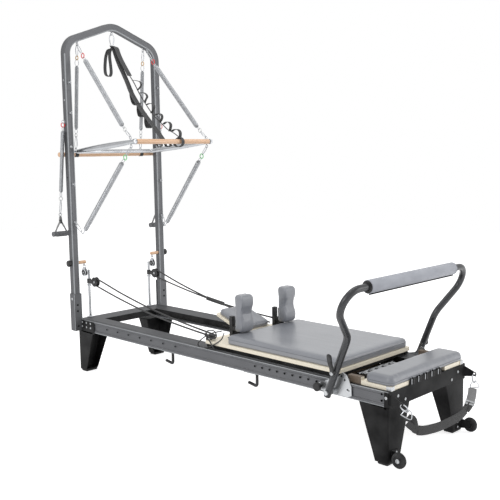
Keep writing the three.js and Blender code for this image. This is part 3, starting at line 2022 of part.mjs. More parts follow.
function lockingLever() {
  const outer = footbarBase + footbar.tube + clearance;
  const collarEnd = -outer - lever.collarWidth;
  const tip = point(leverRoot.x + lever.lean, collarEnd - lever.flare, leverRoot.z + lever.rise);
  const root = point(leverRoot.x, collarEnd + bite, leverRoot.z);
  return fuse(
    rod(point(root.x, -outer + lever.pinReach, root.z), point(root.x, collarEnd, root.z), lever.pin, 8),
    rod(point(root.x, -outer, root.z), point(root.x, collarEnd, root.z), lever.collar, 10),
    wireThrough(
      smooth([root, point(root.x + lever.lean / 4, collarEnd, root.z + lever.rise / 5), tip], 3),
      lever.handle,
      7,
    ),
  );
}
addPair("footbar_lever", lockingLever(), blackPlastic);

add(
  "bracket_knob",
  fuse(
    rod(
      point(knobX, -plateInner + clearance, knob.z),
      point(knobX, -plateOuter - knob.stemReach - bite, knob.z),
      knob.stem,
      8,
    ),
    turned(
      [
        [0, 0],
        [knob.neck, 0],
        [knob.neck, knob.stemReach],
        [knob.radius, knob.stemReach + knob.neck / 2],
        [knob.radius, knob.stemReach + knob.width - knob.neck / 3],
        [knob.radius - knob.neck / 3, knob.stemReach + knob.width],
        [0, knob.stemReach + knob.width],
      ],
      point(knobX, -plateOuter - clearance, knob.z),
      point(0, -1, 0),
      14,
    ),
  ),
  blackPlastic,
);

// Foot strap between the two eye tabs, hanging in front of the foot legs

// Shares of the reach in front of the tabs, of the half width to each side, and of the drop below them.
const footStrapShares = [
  [0, -1, 0],
  [0.3, -0.93, 0.42],
  [0.68, -0.78, 0.78],
  [0.9, -0.42, 0.97],
  [1, 0, 1],
  [0.9, 0.4, 0.94],
  [0.68, 0.68, 0.7],
  [0.3, 0.88, 0.36],
  [0, 1, 0],
];

function footStrapSolid() {
  const holeReach = footBeam.tabHole * Math.cos(turn / 16);
  const hang = holeReach + ringReach(footStrap.snapRadius, footStrap.snapWire) - footStrap.play;
  const snap = strapEye.clone().addScaledVector(down, hang);
  const snapLow = snap.z - footStrap.snapRadius - footStrap.snapReach;
  const end = point(snap.x, snap.y + footStrap.inset, snapLow);
  const path = smooth(
    footStrapShares.map(([ahead, aside, below]) =>
      point(end.x + ahead * footStrap.reach, -aside * end.y, end.z - below * footStrap.drop),
    ),
    14,
  );
  const shank = [snap.clone().addScaledVector(down, footStrap.snapRadius), end];
  const padded = path.slice(3, -3);
  return {
    path: padded,
    solid: fuse(
      torus(snap, xAxis, footStrap.snapRadius, footStrap.snapWire, down),
      torus(mirrorPoint(snap), xAxis, footStrap.snapRadius, footStrap.snapWire, down),
      wireThrough(shank, footStrap.snapWire, 5),
      wireThrough(shank.map(mirrorPoint), footStrap.snapWire, 5),
      ribbon(path, zAxis, footStrap.web, footStrap.webSheet),
      ribbon(padded, zAxis, footStrap.width, footStrap.pad),
    ),
  };
}
const strapMade = footStrapSolid();
add("foot_strap", strapMade.solid, webbing);

// The many-looped strap from the arch's peak to the beech bar, with its carabiner and the teardrop loop

// Shares of the way forward and of the drop, from the carabiner to the bar.
const loopStrapShares = [
  [0, 0],
  [0.08, 0.19],
  [0.25, 0.4],
  [0.49, 0.64],
  [0.66, 0.77],
  [0.86, 0.9],
  [0.97, 0.96],
  [1, 1],
];
const loopPlaceShares = [0.3, 0.41, 0.52, 0.63, 0.74, 0.85];
const teardropSteps = 10;

function loopedStrap() {
  const clipReach =
    ringReach(eye.radius, eye.wire) + ringReach(loopStrap.clipRadius, loopStrap.clipWire) - clearance;
  const clip = peakEye.clone().addScaledVector(down, clipReach);
  const clipLow = clip.clone().addScaledVector(down, loopStrap.clip);
  const around = pushBar.wood + loopStrap.wrapGap + loopStrap.sheet / 2;
  const wrapAt = point(pushBar.barX, loopStrap.aside, pushBar.barZ);
  const arrive = point(wrapAt.x - around, wrapAt.y, wrapAt.z);
  const curve = new THREE.CatmullRomCurve3(
    loopStrapShares.map(([ahead, below]) =>
      point(
        clipLow.x + ahead * (arrive.x - clipLow.x),
        ahead * arrive.y,
        clipLow.z + below * (arrive.z - clipLow.z),
      ),
    ),
    false,
    "centripetal",
  );
  const wrap = Array.from({ length: 8 }, (_, i) => {
    const angle = turn / 2 + (turn * i) / 10;
    return point(wrapAt.x + around * Math.cos(angle), wrapAt.y, wrapAt.z + around * Math.sin(angle));
  });
  const run = [...curve.getSpacedPoints(14).slice(0, -1), ...wrap];
  const main = ribbon(run, yAxis, loopStrap.width, loopStrap.sheet);
  const loops = loopPlaceShares.map((share) => {
    const from = curve.getPointAt(share);
    const to = curve.getPointAt(share + loopStrap.loopLength / curve.getLength());
    const along = to.clone().sub(from).normalize();
    const lift = yAxis.clone().cross(along).negate();
    const steps = 4;
    return ribbon(
      Array.from({ length: steps + 1 }, (_, k) =>
        from
          .clone()
          .lerp(to, k / steps)
          .addScaledVector(lift, loopStrap.loopRise * Math.sin((Math.PI * k) / steps)),
      ),
      yAxis,
      loopStrap.width - 2 * loopStrap.sheet,
      loopStrap.loopSheet,
    );
  });
  const teardrop = Array.from({ length: teardropSteps + 1 }, (_, i) => {
    const share = i / teardropSteps;
    const wide = loopStrap.hangHalf * Math.sin(turn * share);
    const low = loopStrap.hangLength * Math.sin(Math.PI * share);
    return point(clipLow.x - loopStrap.sheet, clipLow.y + wide, clipLow.z - low);
  });
  return fuse(
    torus(clip, xAxis, loopStrap.clipRadius, loopStrap.clipWire, down),
    rod(
      clip.clone().addScaledVector(down, loopStrap.clipRadius),
      clipLow.clone().addScaledVector(down, loopStrap.sheet),
      loopStrap.clipWire,
      6,
    ),
    main,
    ...loops,
    ribbon(teardrop, xAxis, loopStrap.hangWidth, loopStrap.sheet),
  );
}
add("loop_strap", loopedStrap(), webbing);

console.log("least gap of a spring to itself", leastCoilGap.toFixed(2));

// The part's own frame has its origin under the middle of its length.
const gripReach = Math.max(handle.grip, handle.width / 2);
const backReach = Math.min(handleEye.x - gripReach, rollDown.x - rollDown.clamp);
const footReach = Math.max(...strapMade.path.map((p) => p.x)) + footStrap.pad / 2;
object.position.set(-(backReach + footReach) / 2, 0, 0);

const part = new THREE.Group();
part.add(object);

export default part;
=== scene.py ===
"""The looks of a pilates reformer with a half tower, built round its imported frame.

Sizes are in millimetres from the rails' head end, the floor and the middle of the machine.
The left side is the one at negative Y. Each piece is put into the row frame, in metres, as it is made.
"""

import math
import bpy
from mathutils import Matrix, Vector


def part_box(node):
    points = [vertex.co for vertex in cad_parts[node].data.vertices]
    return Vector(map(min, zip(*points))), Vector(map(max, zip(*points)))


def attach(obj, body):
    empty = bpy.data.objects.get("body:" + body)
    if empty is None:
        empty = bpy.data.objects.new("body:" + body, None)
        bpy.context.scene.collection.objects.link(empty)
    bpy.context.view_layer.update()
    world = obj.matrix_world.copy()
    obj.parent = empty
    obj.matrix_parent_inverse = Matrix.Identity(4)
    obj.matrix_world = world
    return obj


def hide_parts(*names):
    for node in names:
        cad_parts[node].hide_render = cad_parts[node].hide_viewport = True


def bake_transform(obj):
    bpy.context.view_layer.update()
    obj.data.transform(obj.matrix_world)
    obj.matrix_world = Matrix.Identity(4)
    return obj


bl_info = {
    "name": "Pilates Reformer with Tower",
    "version": (1, 0, 0),
    "blender": (4, 5, 0),
    "location": "3D View > Sidebar > Reformer",
    "description": "Dresses the packed frame of a pilates reformer with its tower",
    "category": "Object",
}

from types import SimpleNamespace as Sizes

import bmesh
import bpy
import numpy as np
from mathutils import Matrix, Vector
from mathutils.bvhtree import BVHTree

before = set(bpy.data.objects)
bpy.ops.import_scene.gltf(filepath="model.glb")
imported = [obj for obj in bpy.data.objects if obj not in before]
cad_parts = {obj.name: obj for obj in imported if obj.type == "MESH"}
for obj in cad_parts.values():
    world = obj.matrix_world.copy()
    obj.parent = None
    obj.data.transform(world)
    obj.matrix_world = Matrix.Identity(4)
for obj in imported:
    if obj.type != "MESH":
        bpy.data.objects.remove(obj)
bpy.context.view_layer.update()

MM = 0.001
TURN = 2 * math.pi
X_AXIS, Y_AXIS, Z_AXIS = np.eye(3)
SIDES = {"left": -1, "right": 1}
FLIP = (1, -1, 1)

# Sizes in millimetres. GAP is the clearance between a piece and what carries it
GAP = 0.3
FRAME_BOLT = (5.5, 3.2)
RAIL = Sizes(face=325, top=343, bottom=273, length=2427)
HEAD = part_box("rail_left")[1].x - RAIL.length * MM
UPRIGHT = Sizes(front=34, inner=325.5, outer=370, foot=287, splice=1795, chamfer=7, x=13.5)
UPRIGHT.middle = (UPRIGHT.inner + UPRIGHT.outer) / 2
ARCH = Sizes(shoulder=2090, peak=2219, corner=105, crown=150, half=22.25)
EYE = Sizes(radius=9, wire=2.4, stem=3, stand=16, heights=(1655, 1212, 971, 1842), lowest=971)
PUSH = Sizes(back_y=301, pivot_z=1415, x=614, z=1469, tube=12.5, bend=28, wood=15, half=283)
ROLL = Sizes(x=-55, z=1397, radius=15, half=384, eye_y=257, top_x=6, front_x=30, front_y=272, clamp=17.5)
ARM = Sizes(top=1600, x=-64, low=1018, grip_z=897)
PEG = Sizes(z=709, radius=11, tip=262)
RISER = Sizes(x=13.5, y=243, radius=8, top=655, base=343.3)
SHEAVE = Sizes(x=86.5, z=581, radius=26, groove=19, rope=4.3, half=7.5, cheek_in=8.5, cheek_out=11.5,
               cheek=31)
ROPE = Sizes(radius=4, shown=4.8, sag=26, stud_x=1216, stud_y=275, end_x=1190, end_y=218,
             bend=(200, 1120), level=500)
WOUND = Sizes(long=30, wide=19, rise=12.4, steps=12)
SLEEVE = Sizes(foot=745, head=578, width=24, height=11)
BOARD = Sizes(top=383)
PAD = Sizes(head=1346, foot=2125, half=295, height=46, corner=30, round=17)
POST = Sizes(y=171, top=507)
REST = Sizes(back=1340.8, depth=64, half=48, bottom=433, height=207)
HEADREST = Sizes(hinge=1300, z=389.8, length=240, half=110, tilt=19.5, board_top=19.5, pad=30)
PLATFORM = Sizes(pad_head=2277, pad_foot=2437, pad_half=317, low=343.3, top=363.6, pad=43,
                 pad_corner=34, round=24)
FOOTBAR = Sizes(x=2118, z=292, lean=67.34, tube=17, base=364, tail=20, knee=300, bend=90,
                shoulder=610, round=84, axis=560, foam=31, foam_half=352, lever=112)
SPRING = Sizes(draw_in=14, pitch=2.1, core_in=12, core_rings=32, ring=15, slim_ring=13, wire=2.8,
               low_wire=2.4, hook=2, snap=(17, 2.3))
SPRING_BAR = Sizes(x=2404, z=331, radius=7, half=172, pitch=56.8, coil=10.8, wire=1.9, hook=2.0)
WHEEL = Sizes(x=2475, z=40, radius=36, width=24, arm_y=298.7)
LEG = Sizes(face=328.3, sheet=5, low=(14, 70, 98, 58), high=(272.7, 160, 178, 95))
HOLES = Sizes(z=314, radius=5.4, head=(310, 969, 7), foot=(1600, 2011, 9), end_x=2390, end_z=(329, 299))
CARRIAGE_WHEEL = Sizes(head=1300, foot=2060, y=190, z=328.3)
SWIVEL = Sizes(eye=8, eye_wire=2.2, bow=9, sheave=16.5, half=9, cheek_in=5.5, cheek_out=8.5)
HANDLE = Sizes(half=60, radius=17, wide=47, neck=12)
EYE_TAB = Sizes(x=2488.3, y=318, z=300)
SOCKET = Sizes(outer=374.4, inner=321.2, front=38.4, low=275, high=512, bolts=(440, 401, 303), side=480)
BRACKET = Sizes(face=330.5, holes=((2169, 370), (2187, 355), (2203, 312)), knob=(2041, 300))
RUNNER = Sizes(head=2187.2, foot=2262.4, outer=306.8, inner=281.2, low=343.2, top=378)
CORNER = Sizes(half=309.4, long=27, sheet=2.2)
STORAGE = Sizes(x=(929, 1601), y=310, drop=68, reach=60, rise=10.3, radius=8)
FILLING = Sizes(full=0.7, pressure=4.0, steps=20)

# The camera and the lamps in metres and radians. A lamp has its place, its aim, its size and its power
CAMERA = Sizes(place=(3.16318, -3.14016, 1.40653), yaw=0.755, pitch=-0.120, roll=-0.012, lens=57.312,
               shift=(-0.0486, -0.0067), sensor=36)
LAMPS = (("key", (5.5, 3.2, 2.2), (-0.6, 0, 0.9), 4.0, 100),
         ("fill", (0.5, -5.0, 3.6), (0, 0, 0.6), 3.0, 90),
         ("top", (0, 0, 5.5), (0, 0, 0.5), 4.0, 60))
DAYLIGHT = 0.7


# Places and directions


def spot(x, y, z):
    """A place in millimetres from the rails' head end."""
    return np.array((x, y, z), float)


def unit(v):
    """The direction of v, one long."""
    return np.asarray(v, float) / np.linalg.norm(v)


def across_from(way, hint=None):
    """A direction square to the way, near the hint."""
    if hint is None:
        hint = np.eye(3)[np.argmin(np.abs(way))]
    return unit(hint - np.dot(hint, way) * way)


def frames(path, across=None, closed=False):
    """The directions across and through a route at each of its points, without twist."""
    if closed:
        before, after = np.roll(path, 1, 0), np.roll(path, -1, 0)
    else:
        before = np.vstack([path[:1] * 2 - path[1:2], path[:-1]])
        after = np.vstack([path[1:], path[-1:] * 2 - path[-2:-1]])
    back, ahead = path - before, after - path
    back /= np.linalg.norm(back, axis=1, keepdims=True)
    ahead /= np.linalg.norm(ahead, axis=1, keepdims=True)
    ways = back + ahead
    ways /= np.linalg.norm(ways, axis=1, keepdims=True)
    sides = np.empty_like(ways)
    side = across_from(ways[0], across)
    for i, way in enumerate(ways):
        side = across_from(way, side if across is None else across)
        sides[i] = side
    return sides, np.cross(ways, sides)


def circle(radius, sides):
    turns = np.arange(sides) * TURN / sides
    return np.stack([np.cos(turns), np.sin(turns)], 1) * radius


def slab(width, height, corner, steps=3):
    """The outline of a flat band with round corners."""
    found = []
    for quarter, (u, v) in enumerate([(1, 1), (-1, 1), (-1, -1), (1, -1)]):
        for k in range(steps + 1):
            angle = TURN / 4 * (quarter + k / steps)
            found.append((u * (width / 2 - corner) + corner * math.cos(angle),
                          v * (height / 2 - corner) + corner * math.sin(angle)))
    return np.array(found)


def route(points, radii, steps=8):
    """Straight runs through the points with round corners between them."""
    points = [np.asarray(p, float) for p in points]
    radii = [radii] * (len(points) - 2) if np.isscalar(radii) else radii
    found = [points[0]]
    for i, radius in enumerate(radii, start=1):
        back, ahead = unit(points[i - 1] - points[i]), unit(points[i + 1] - points[i])
        half = math.acos(np.clip(back @ ahead, -1, 1)) / 2
        reach, swing = radius / math.tan(half), math.pi - 2 * half
        centre = points[i] + unit(back + ahead) * radius / math.sin(half)
        first, last = points[i] + back * reach - centre, points[i] + ahead * reach - centre
        for share in np.linspace(0, 1, steps + 1):
            arc = math.sin((1 - share) * swing) * first + math.sin(share * swing) * last
            found.append(centre + arc / math.sin(swing))
    found.append(points[-1])
    return np.array(found)


def curve(points, count):
    """Evenly spaced points along a smooth line through the given ones."""
    p = np.asarray(points, float)
    p = np.vstack([2 * p[0] - p[1], p, 2 * p[-1] - p[-2]])
    fine = []
    for i in range(1, len(p) - 2):
        near = p[i - 1:i + 3]
        t = np.concatenate([[0], np.cumsum(np.linalg.norm(np.diff(near, axis=0), axis=1) ** 0.5)])
        for u in np.linspace(t[1], t[2], 24, endpoint=i == len(p) - 3):
            level = list(near)
            for order in (1, 2, 3):
                ends = [(t[0], t[1]), (t[1], t[2]), (t[2], t[3])] if order == 1 else (
                    [(t[0], t[2]), (t[1], t[3])] if order == 2 else [(t[1], t[2])])
                level = [(b - u) / (b - a) * level[k] + (u - a) / (b - a) * level[k + 1]
                         for k, (a, b) in enumerate(ends)]
            fine.append(level[0])
    return evenly(np.array(fine), count)


def evenly(line, count):
    """Points at even steps along a line."""
    along = np.concatenate([[0], np.cumsum(np.linalg.norm(np.diff(line, axis=0), axis=1))])
    at = np.linspace(0, along[-1], count)
    return np.stack([np.interp(at, along, line[:, k]) for k in range(3)], 1)


def both_ways(side, between=()):
    """A turned profile that is the same on both sides of its middle."""
    return [*side, *between, *[(radius, -along) for radius, along in side[::-1]]]


def long_of(line):
    return float(np.linalg.norm(np.diff(line, axis=0), axis=1).sum())


class Form:
    """The faces of one piece, in millimetres from the rails' head end."""

    def __init__(self):
        self.points, self.faces, self.marks, self.charts = [], [], [], []
        self.count, self.mark = 0, 0

    def add(self, points, faces, charts=None):
        points = np.asarray(points, float).reshape(-1, 3)
        self.points.append(points)
        self.faces += [[i + self.count for i in face] for face in faces]
        self.marks += [self.mark] * len(faces)
        self.charts += charts or [None] * len(faces)
        self.count += len(points)
        return self

    def marked(self, mark):
        """What is added from here on takes this finish."""
        self.mark = mark
        return self

    def sweep(self, path, section, across=None, closed=False, scale=None):
        """A closed section carried along a route. Its chart runs round it and along it.
        The scale is one number for each point, or one for each of the section's two directions."""
        path, section = np.asarray(path, float), np.asarray(section, float)
        n, m = len(path), len(section)
        sides, throughs = frames(path, across, closed)
        scales = np.ones((n, 2)) * (1 if scale is None else np.reshape(scale, (n, -1)))
        rings = (path[:, None]
                 + sides[:, None] * (section[None, :, :1] * scales[:, None, :1])
                 + throughs[:, None] * (section[None, :, 1:] * scales[:, None, 1:]))
        round_it = np.concatenate([[0], np.cumsum(np.linalg.norm(
            np.diff(np.vstack([section, section[:1]]), axis=0), axis=1))])
        last = np.vstack([path, path[:1]]) if closed else path
        along = np.concatenate([[0], np.cumsum(np.linalg.norm(np.diff(last, axis=0), axis=1))])
        faces, charts = [], []
        for i in range(n if closed else n - 1):
            a, b = i * m, (i + 1) % n * m
            for k in range(m):
                nxt = (k + 1) % m
                faces.append([a + k, a + nxt, b + nxt, b + k])
                charts.append([(round_it[k], along[i]), (round_it[k + 1], along[i]),
                               (round_it[k + 1], along[i + 1]), (round_it[k], along[i + 1])])
        if not closed:
            faces += [list(range(m))[::-1], [(n - 1) * m + k for k in range(m)]]
            charts += [[(0, 0)] * m] * 2
        return self.add(rings, faces, charts)

    def tube(self, path, radius, sides=20, **more):
        return self.sweep(path, circle(radius, sides), **more)

    def rod(self, a, b, radius, sides=24):
        return self.tube([a, b], radius, sides)

    def ring(self, centre, normal, radius, wire, steps=32, squeeze=1.0, along=None):
        """A closed wire ring. squeeze makes it narrower across the given direction."""
        normal = unit(normal)
        u = across_from(normal, along)
        v = np.cross(normal, u)
        turns = circle(radius, steps)
        path = centre + turns[:, :1] * u + turns[:, 1:] * v * squeeze
        return self.sweep(path, circle(wire, 12), closed=True)

    def turned(self, profile, base, direction, sides=32, closed=False):
        """A turned form. Its profile holds radius and distance along the direction."""
        way = unit(direction)
        u = across_from(way)
        v = np.cross(way, u)
        points, rings = [], []
        for radius, along in profile:
            centre = np.asarray(base, float) + way * along
            if radius == 0:
                rings.append([len(points)] * sides)
                points.append(centre)
            else:
                rings.append(list(range(len(points), len(points) + sides)))
                points += [centre + u * a + v * b for a, b in circle(radius, sides)]
        faces = []
        for a, b in zip(rings, rings[1:] + (rings[:1] if closed else [])):
            for k in range(sides):
                nxt = (k + 1) % sides
                face = [a[k], a[nxt], b[nxt], b[k]]
                faces.append([p for i, p in enumerate(face) if p != face[i - 1]])
        if not closed:
            faces += [ring for ring in (rings[0][::-1], rings[-1]) if ring[0] != ring[1]]
        return self.add(points, faces)

    def plate(self, outline, normal, low, high):
        """An outline in the plane square to y or z, with its thickness between two levels."""
        order = {"y": (0, 2, 1), "z": (0, 1, 2)}[normal]
        n = len(outline)
        points = [[(u, v, level)[k] for k in order] for level in (low, high) for u, v in outline]
        faces = [list(range(n))[::-1], list(range(n, 2 * n))]
        faces += [[k, (k + 1) % n, n + (k + 1) % n, n + k] for k in range(n)]
        return self.add(points, faces)

    def box(self, x0, x1, y0, y1, z0, z1):
        return self.plate([(x0, y0), (x1, y0), (x1, y1), (x0, y1)], "z", z0, z1)

    def loft(self, rings):
        """Rings of equal point counts joined, with flat ends."""
        rings = [np.asarray(ring, float) for ring in rings]
        m = len(rings[0])
        faces = [[i * m + k, i * m + (k + 1) % m, (i + 1) * m + (k + 1) % m, (i + 1) * m + k]
                 for i in range(len(rings) - 1) for k in range(m)]
        faces += [list(range(m))[::-1], [(len(rings) - 1) * m + k for k in range(m)]]
        return self.add(np.vstack(rings), faces)

    def coil(self, a, b, radius, wire, pitch, taper):
        """A close-wound spring whose ends draw in to its hooks."""
        steps, sides = 12, 6
        a, b = np.asarray(a, float), np.asarray(b, float)
        way, length = unit(b - a), np.linalg.norm(b - a)
        u = across_from(way)
        v = np.cross(way, u)
        turns = round(length / pitch)
        share = np.linspace(0, 1, turns * steps + 1)
        inner = np.clip(np.minimum(share, 1 - share) * length / taper, 0, 1)
        reach = radius * (0.3 + 0.7 * np.sin(inner * TURN / 4))
        angle = share * turns * TURN
        path = (a + way * (share * length)[:, None]
                + u * (reach * np.cos(angle))[:, None] + v * (reach * np.sin(angle))[:, None])
        return self.tube(path, wire, sides)

    def snap(self, a, b, normal, width=20, wire=2.6):
        """A snap hook between two places: a pear-shaped ring with its gate."""
        a, b = np.asarray(a, float), np.asarray(b, float)
        way = unit(b - a)
        side = unit(np.cross(unit(normal), way))
        half, middle = np.linalg.norm(b - a) / 2, (a + b) / 2
        path = [middle - way * half * math.cos(t)
                + side * width / 2 * math.sin(t) * (1 + 0.22 * math.cos(t))
                for t in np.arange(40) * TURN / 40]
        self.sweep(path, circle(wire, 10), closed=True)
        gate = [path[k] for k in range(7, 15)]
        self.tube(gate, wire * 1.35, 12)
        return self

    def eyebolt(self, base, direction, normal):
        """An eye on its stem, with a six-sided nut."""
        way = unit(direction)
        centre = base + way * EYE.stand
        self.ring(centre, normal, EYE.radius, EYE.wire)
        self.rod(base - way, base + way * (EYE.stand - EYE.radius + EYE.wire / 2), EYE.stem, 16)
        return self.turned([(7, -0.5), (7, 1.2), (5.6, 1.4), (5.6, 4.2), (0, 4.2)], base, way, 6)

    def bolt(self, base, direction, radius=6, height=3.5):
        """A button head with its socket, on a washer."""
        rim = radius * 1.25
        return self.turned(
            [(rim, -0.5), (rim, 0.9), (radius, 1), (radius, height * 0.45),
             (radius * 0.82, height * 0.85), (radius * 0.5, height), (radius * 0.44, height),
             (radius * 0.4, height * 0.4), (0, height * 0.4)], base, direction, 24)

    def mirrored(self):
        """The other side's copy of this form."""
        other = Form()
        other.points = [points * FLIP for points in self.points]
        other.faces = [face[::-1] for face in self.faces]
        other.charts = [chart and chart[::-1] for chart in self.charts]
        other.marks, other.count = list(self.marks), self.count
        return other


def in_row(places):
    """Places in the row frame, in metres."""
    return np.asarray(places) * MM + (HEAD, 0, 0)


def soften(made, bevel):
    """Round the sharp edges."""
    edge = made.modifiers.new("edges", "BEVEL")
    edge.width, edge.segments, edge.limit_method = bevel * MM, 2, "ANGLE"
    edge.angle_limit = math.radians(40)


def meshed(name, form, finishes, smooth=32):
    """An object of the form, in the row frame and in metres."""
    points = in_row(np.vstack(form.points))
    mesh = bpy.data.meshes.new(name)
    mesh.from_pydata(points.tolist(), [], form.faces)
    mesh.polygons.foreach_set("material_index", form.marks)
    if any(form.charts):
        chart = mesh.uv_layers.new(name="UVMap")
        empty = [(0, 0)] * 64
        flat = [v for face, uv in zip(form.faces, form.charts)
                for pair in (uv or (empty * (len(face) // 64 + 1))[:len(face)]) for v in pair]
        chart.data.foreach_set("uv", (np.array(flat) * MM).astype(np.float32))
    built = bmesh.new()
    built.from_mesh(mesh)
    bmesh.ops.recalc_face_normals(built, faces=built.faces)
    built.to_mesh(mesh)
    built.free()
    for material in finishes:
        mesh.materials.append(material)
    mesh.polygons.foreach_set("use_smooth", [True] * len(mesh.polygons))
    mesh.set_sharp_from_angle(angle=math.radians(smooth))
    made = bpy.data.objects.new(name, mesh)
    bpy.context.scene.collection.objects.link(made)
    return made


def piece(name, form, finishes, body, slot=None, bevel=0.0, smooth=32, replaces=None, blend=None):
    """A finished piece on its body, or left in place on neither when it spans two bodies.
    Its finishes are named in one word or more, and its slot is not used."""
    finishes = finishes.split()
    made = meshed(name, form, [finish(word) for word in finishes], smooth)
    if bevel:
        soften(made, bevel)
    if blend:
        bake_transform(made)
    else:
        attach(made, body)
    if replaces:
        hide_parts(replaces)
    return made


def pair(name, form, finishes, body, replaces="", blend=None, **more):
    """The left piece and its mirrored right one. A body or node name ends in the side where both have it."""
    for side, way in SIDES.items():
        def sided(word):
            return word + side if word.endswith("_") else word
        bodies = [sided(b) for b in body] if blend else sided(body)
        ends = blend and [place * (1, -way, 1) for place in blend]
        piece(f"{name}_{side}", form if way < 0 else form.mirrored(), finishes, bodies,
              replaces=sided(replaces), blend=ends, **more)


# Settings


def tint(red, green, blue):
    """A colour from its three values up to 255, made linear."""
    shares = [c / 255 for c in (red, green, blue)]
    return tuple(c / 12.92 if c <= 0.04045 else ((c + 0.055) / 1.055) ** 2.4 for c in shares)


def colour_setting(name, description, *values):
    return bpy.props.FloatVectorProperty(name=name, description=description, default=tint(*values),
                                         subtype="COLOR", size=3, min=0, max=1)


def length_setting(name, description, millimetres):
    return bpy.props.FloatProperty(name=name, description=description, default=millimetres * MM,
                                   min=0, unit="LENGTH")


class ReformerColours(bpy.types.PropertyGroup):
    """The colours of the reformer's finishes."""
    anodised: colour_setting("Anodised", "Rails, uprights and arch", 98, 99, 102)
    coat: colour_setting("Powder coat", "Legs, plates and the carriage's frame", 15, 15, 16)
    vinyl: colour_setting("Vinyl", "Pads, shoulder rests and headrest", 116, 119, 126)
    foam: colour_setting("Roller foam", "The footbar's roller", 158, 161, 169)
    birch: colour_setting("Birch", "The boards' upper face", 250, 240, 218)
    beech: colour_setting("Beech", "The turned bars and pegs", 226, 180, 138)
    webbing: colour_setting("Webbing", "The looped strap and the ropes' ends", 44, 45, 47)
    padding: colour_setting("Padding", "The foot strap", 16, 16, 17)
    # Painted shade: a dark taupe for the platform's runners and the sheet under the springs, standing in for
    # the shade they lie in.
    runner: colour_setting("Runners", "The platform's runners", 104, 90, 76)
    grip: colour_setting("Grips", "The strap handles", 112, 113, 116)
    rope: colour_setting("Rope", "The carriage's ropes", 34, 34, 36)
    plastic: colour_setting("Plastic", "Pulleys, wheels, knobs and levers", 20, 20, 22)
    gloss: colour_setting("Footbar lacquer", "The footbar's tube", 38, 40, 44)
    steel: colour_setting("Bright steel", "Springs, eyes and the push-through frame", 178, 180, 183)
    brushed: colour_setting("Brushed steel", "The footbar's brackets and the bolts", 182, 184, 186)
    strong: colour_setting("Strong spring", "Marker rings of the upper springs", 226, 58, 60)
    middle: colour_setting("Middle spring", "Marker rings of the lower springs", 128, 218, 140)
    light: colour_setting("Light spring", "Marker rings of the roll-down springs", 226, 184, 120)
    pale: colour_setting("Pale rings", "The springs' lower rings", 226, 227, 226)
    # Painted highlight: a lighter anodised tone for the chamfers and edge strips of the uprights, arch,
    # rails and sockets, standing in for their glint.
    edge: colour_setting("Highlight edges", "The bright cut edges of the uprights, arch and rails", 158, 161, 164)
    floor: colour_setting("Floor", "Floor and backdrop", 236, 236, 237)


class ReformerSizes(bpy.types.PropertyGroup):
    """The sizes of the reformer's details."""
    coil: length_setting("Coil radius", "Middle of the wire of the thick springs", 13.2)
    wire: length_setting("Spring wire", "Radius of the thick springs' wire", 1.9)
    slim_coil: length_setting("Slim coil radius", "Middle of the wire of the slim springs", 10.6)
    slim_wire: length_setting("Slim spring wire", "Radius of the slim springs' wire", 1.6)
    piping: length_setting("Welt", "Radius of the pads' sewn welts", 1.3)
    swell: length_setting("Pad swell", "How far a pad's cover may swell", 4.0)
    sheet: length_setting("Webbing sheet", "Thickness of the webbing", 2.0)


def shade(name):
    """A colour from the settings."""
    return tuple(getattr(bpy.context.scene.reformer_colours, name))


def sizes(name):
    """A size from the settings, in millimetres."""
    return getattr(bpy.context.scene.reformer_sizes, name) / MM


# Finishes


class Recipe:
    """A material's nodes. A value is a number, a colour or another node's output."""

    def __init__(self, name, colour, roughness, **sockets):
        self.material = bpy.data.materials.new(name)
        self.material.use_nodes = True
        self.tree = self.material.node_tree
        self.shader = self.tree.nodes["Principled BSDF"]
        self.put(self.shader.inputs["Base Color"], colour)
        self.put(self.shader.inputs["Roughness"], roughness)
        for socket, value in sockets.items():
            self.put(self.shader.inputs[socket.replace("_", " ")], value)

    def put(self, socket, value):
        if isinstance(value, bpy.types.NodeSocket):
            self.tree.links.new(value, socket)
        elif socket.type == "RGBA":
            socket.default_value = (*value[:3], 1)
        else:
            socket.default_value = value

    def node(self, kind, values=(), out=0, **settings):
        made = self.tree.nodes.new("ShaderNode" + kind)
        for key, value in settings.items():
            setattr(made, key, value)
        for key, value in dict(values).items():
            self.put(made.inputs[key], value)
        return made.outputs[out]

    def at(self, scale=(1, 1, 1), coordinates="Object"):
        """Places on the piece, times a scale for each axis."""
        place = self.node("TexCoord", out=coordinates)
        return self.node("VectorMath", {0: place, 1: scale}, operation="MULTIPLY")

    def noise(self, scale, detail=3.0, roughness=0.5, stretch=(1, 1, 1)):
        return self.node("TexNoise", {"Vector": self.at(stretch), "Scale": scale, "Detail": detail,
                                      "Roughness": roughness})

    def cells(self, scale, **settings):
        return self.node("TexVoronoi", {"Vector": self.at(), "Scale": scale}, **settings)

    def sum(self, operation, a, b=0.0, c=0.0):
        return self.node("Math", {0: a, 1: b, 2: c}, operation=operation)

    def ramp(self, value, low, high, start=0.0, end=1.0):
        return self.node("MapRange", {"Value": value, "From Min": low, "From Max": high,
                                      "To Min": start, "To Max": end})

    def mix(self, share, a, b, blend_type="MIX"):
        made = self.tree.nodes.new("ShaderNodeMix")
        made.data_type, made.blend_type = "RGBA", blend_type
        for index, value in ((0, share), (6, a), (7, b)):
            self.put(made.inputs[index], value)
        return made.outputs[2]

    def set(self, socket, value):
        self.put(self.shader.inputs[socket], value)

    def bump(self, height, distance, strength=1.0, under=None):
        values = {"Height": height, "Distance": distance * MM, "Strength": strength}
        if under is not None:
            values["Normal"] = under
        return self.node("Bump", values)

    def edges(self, radius):
        return self.node("Bevel", {"Radius": radius * MM}, samples=4)

    def worn(self, radius=1.2):
        """How much a point's surface turns within the radius, from 0 to 1 at an edge."""
        rounded = self.edges(radius)
        flat = self.node("NewGeometry", out="Normal")
        likeness = self.node("VectorMath", {0: rounded, 1: flat}, out=1, operation="DOT_PRODUCT")
        return self.ramp(likeness, 1.0, 0.9)


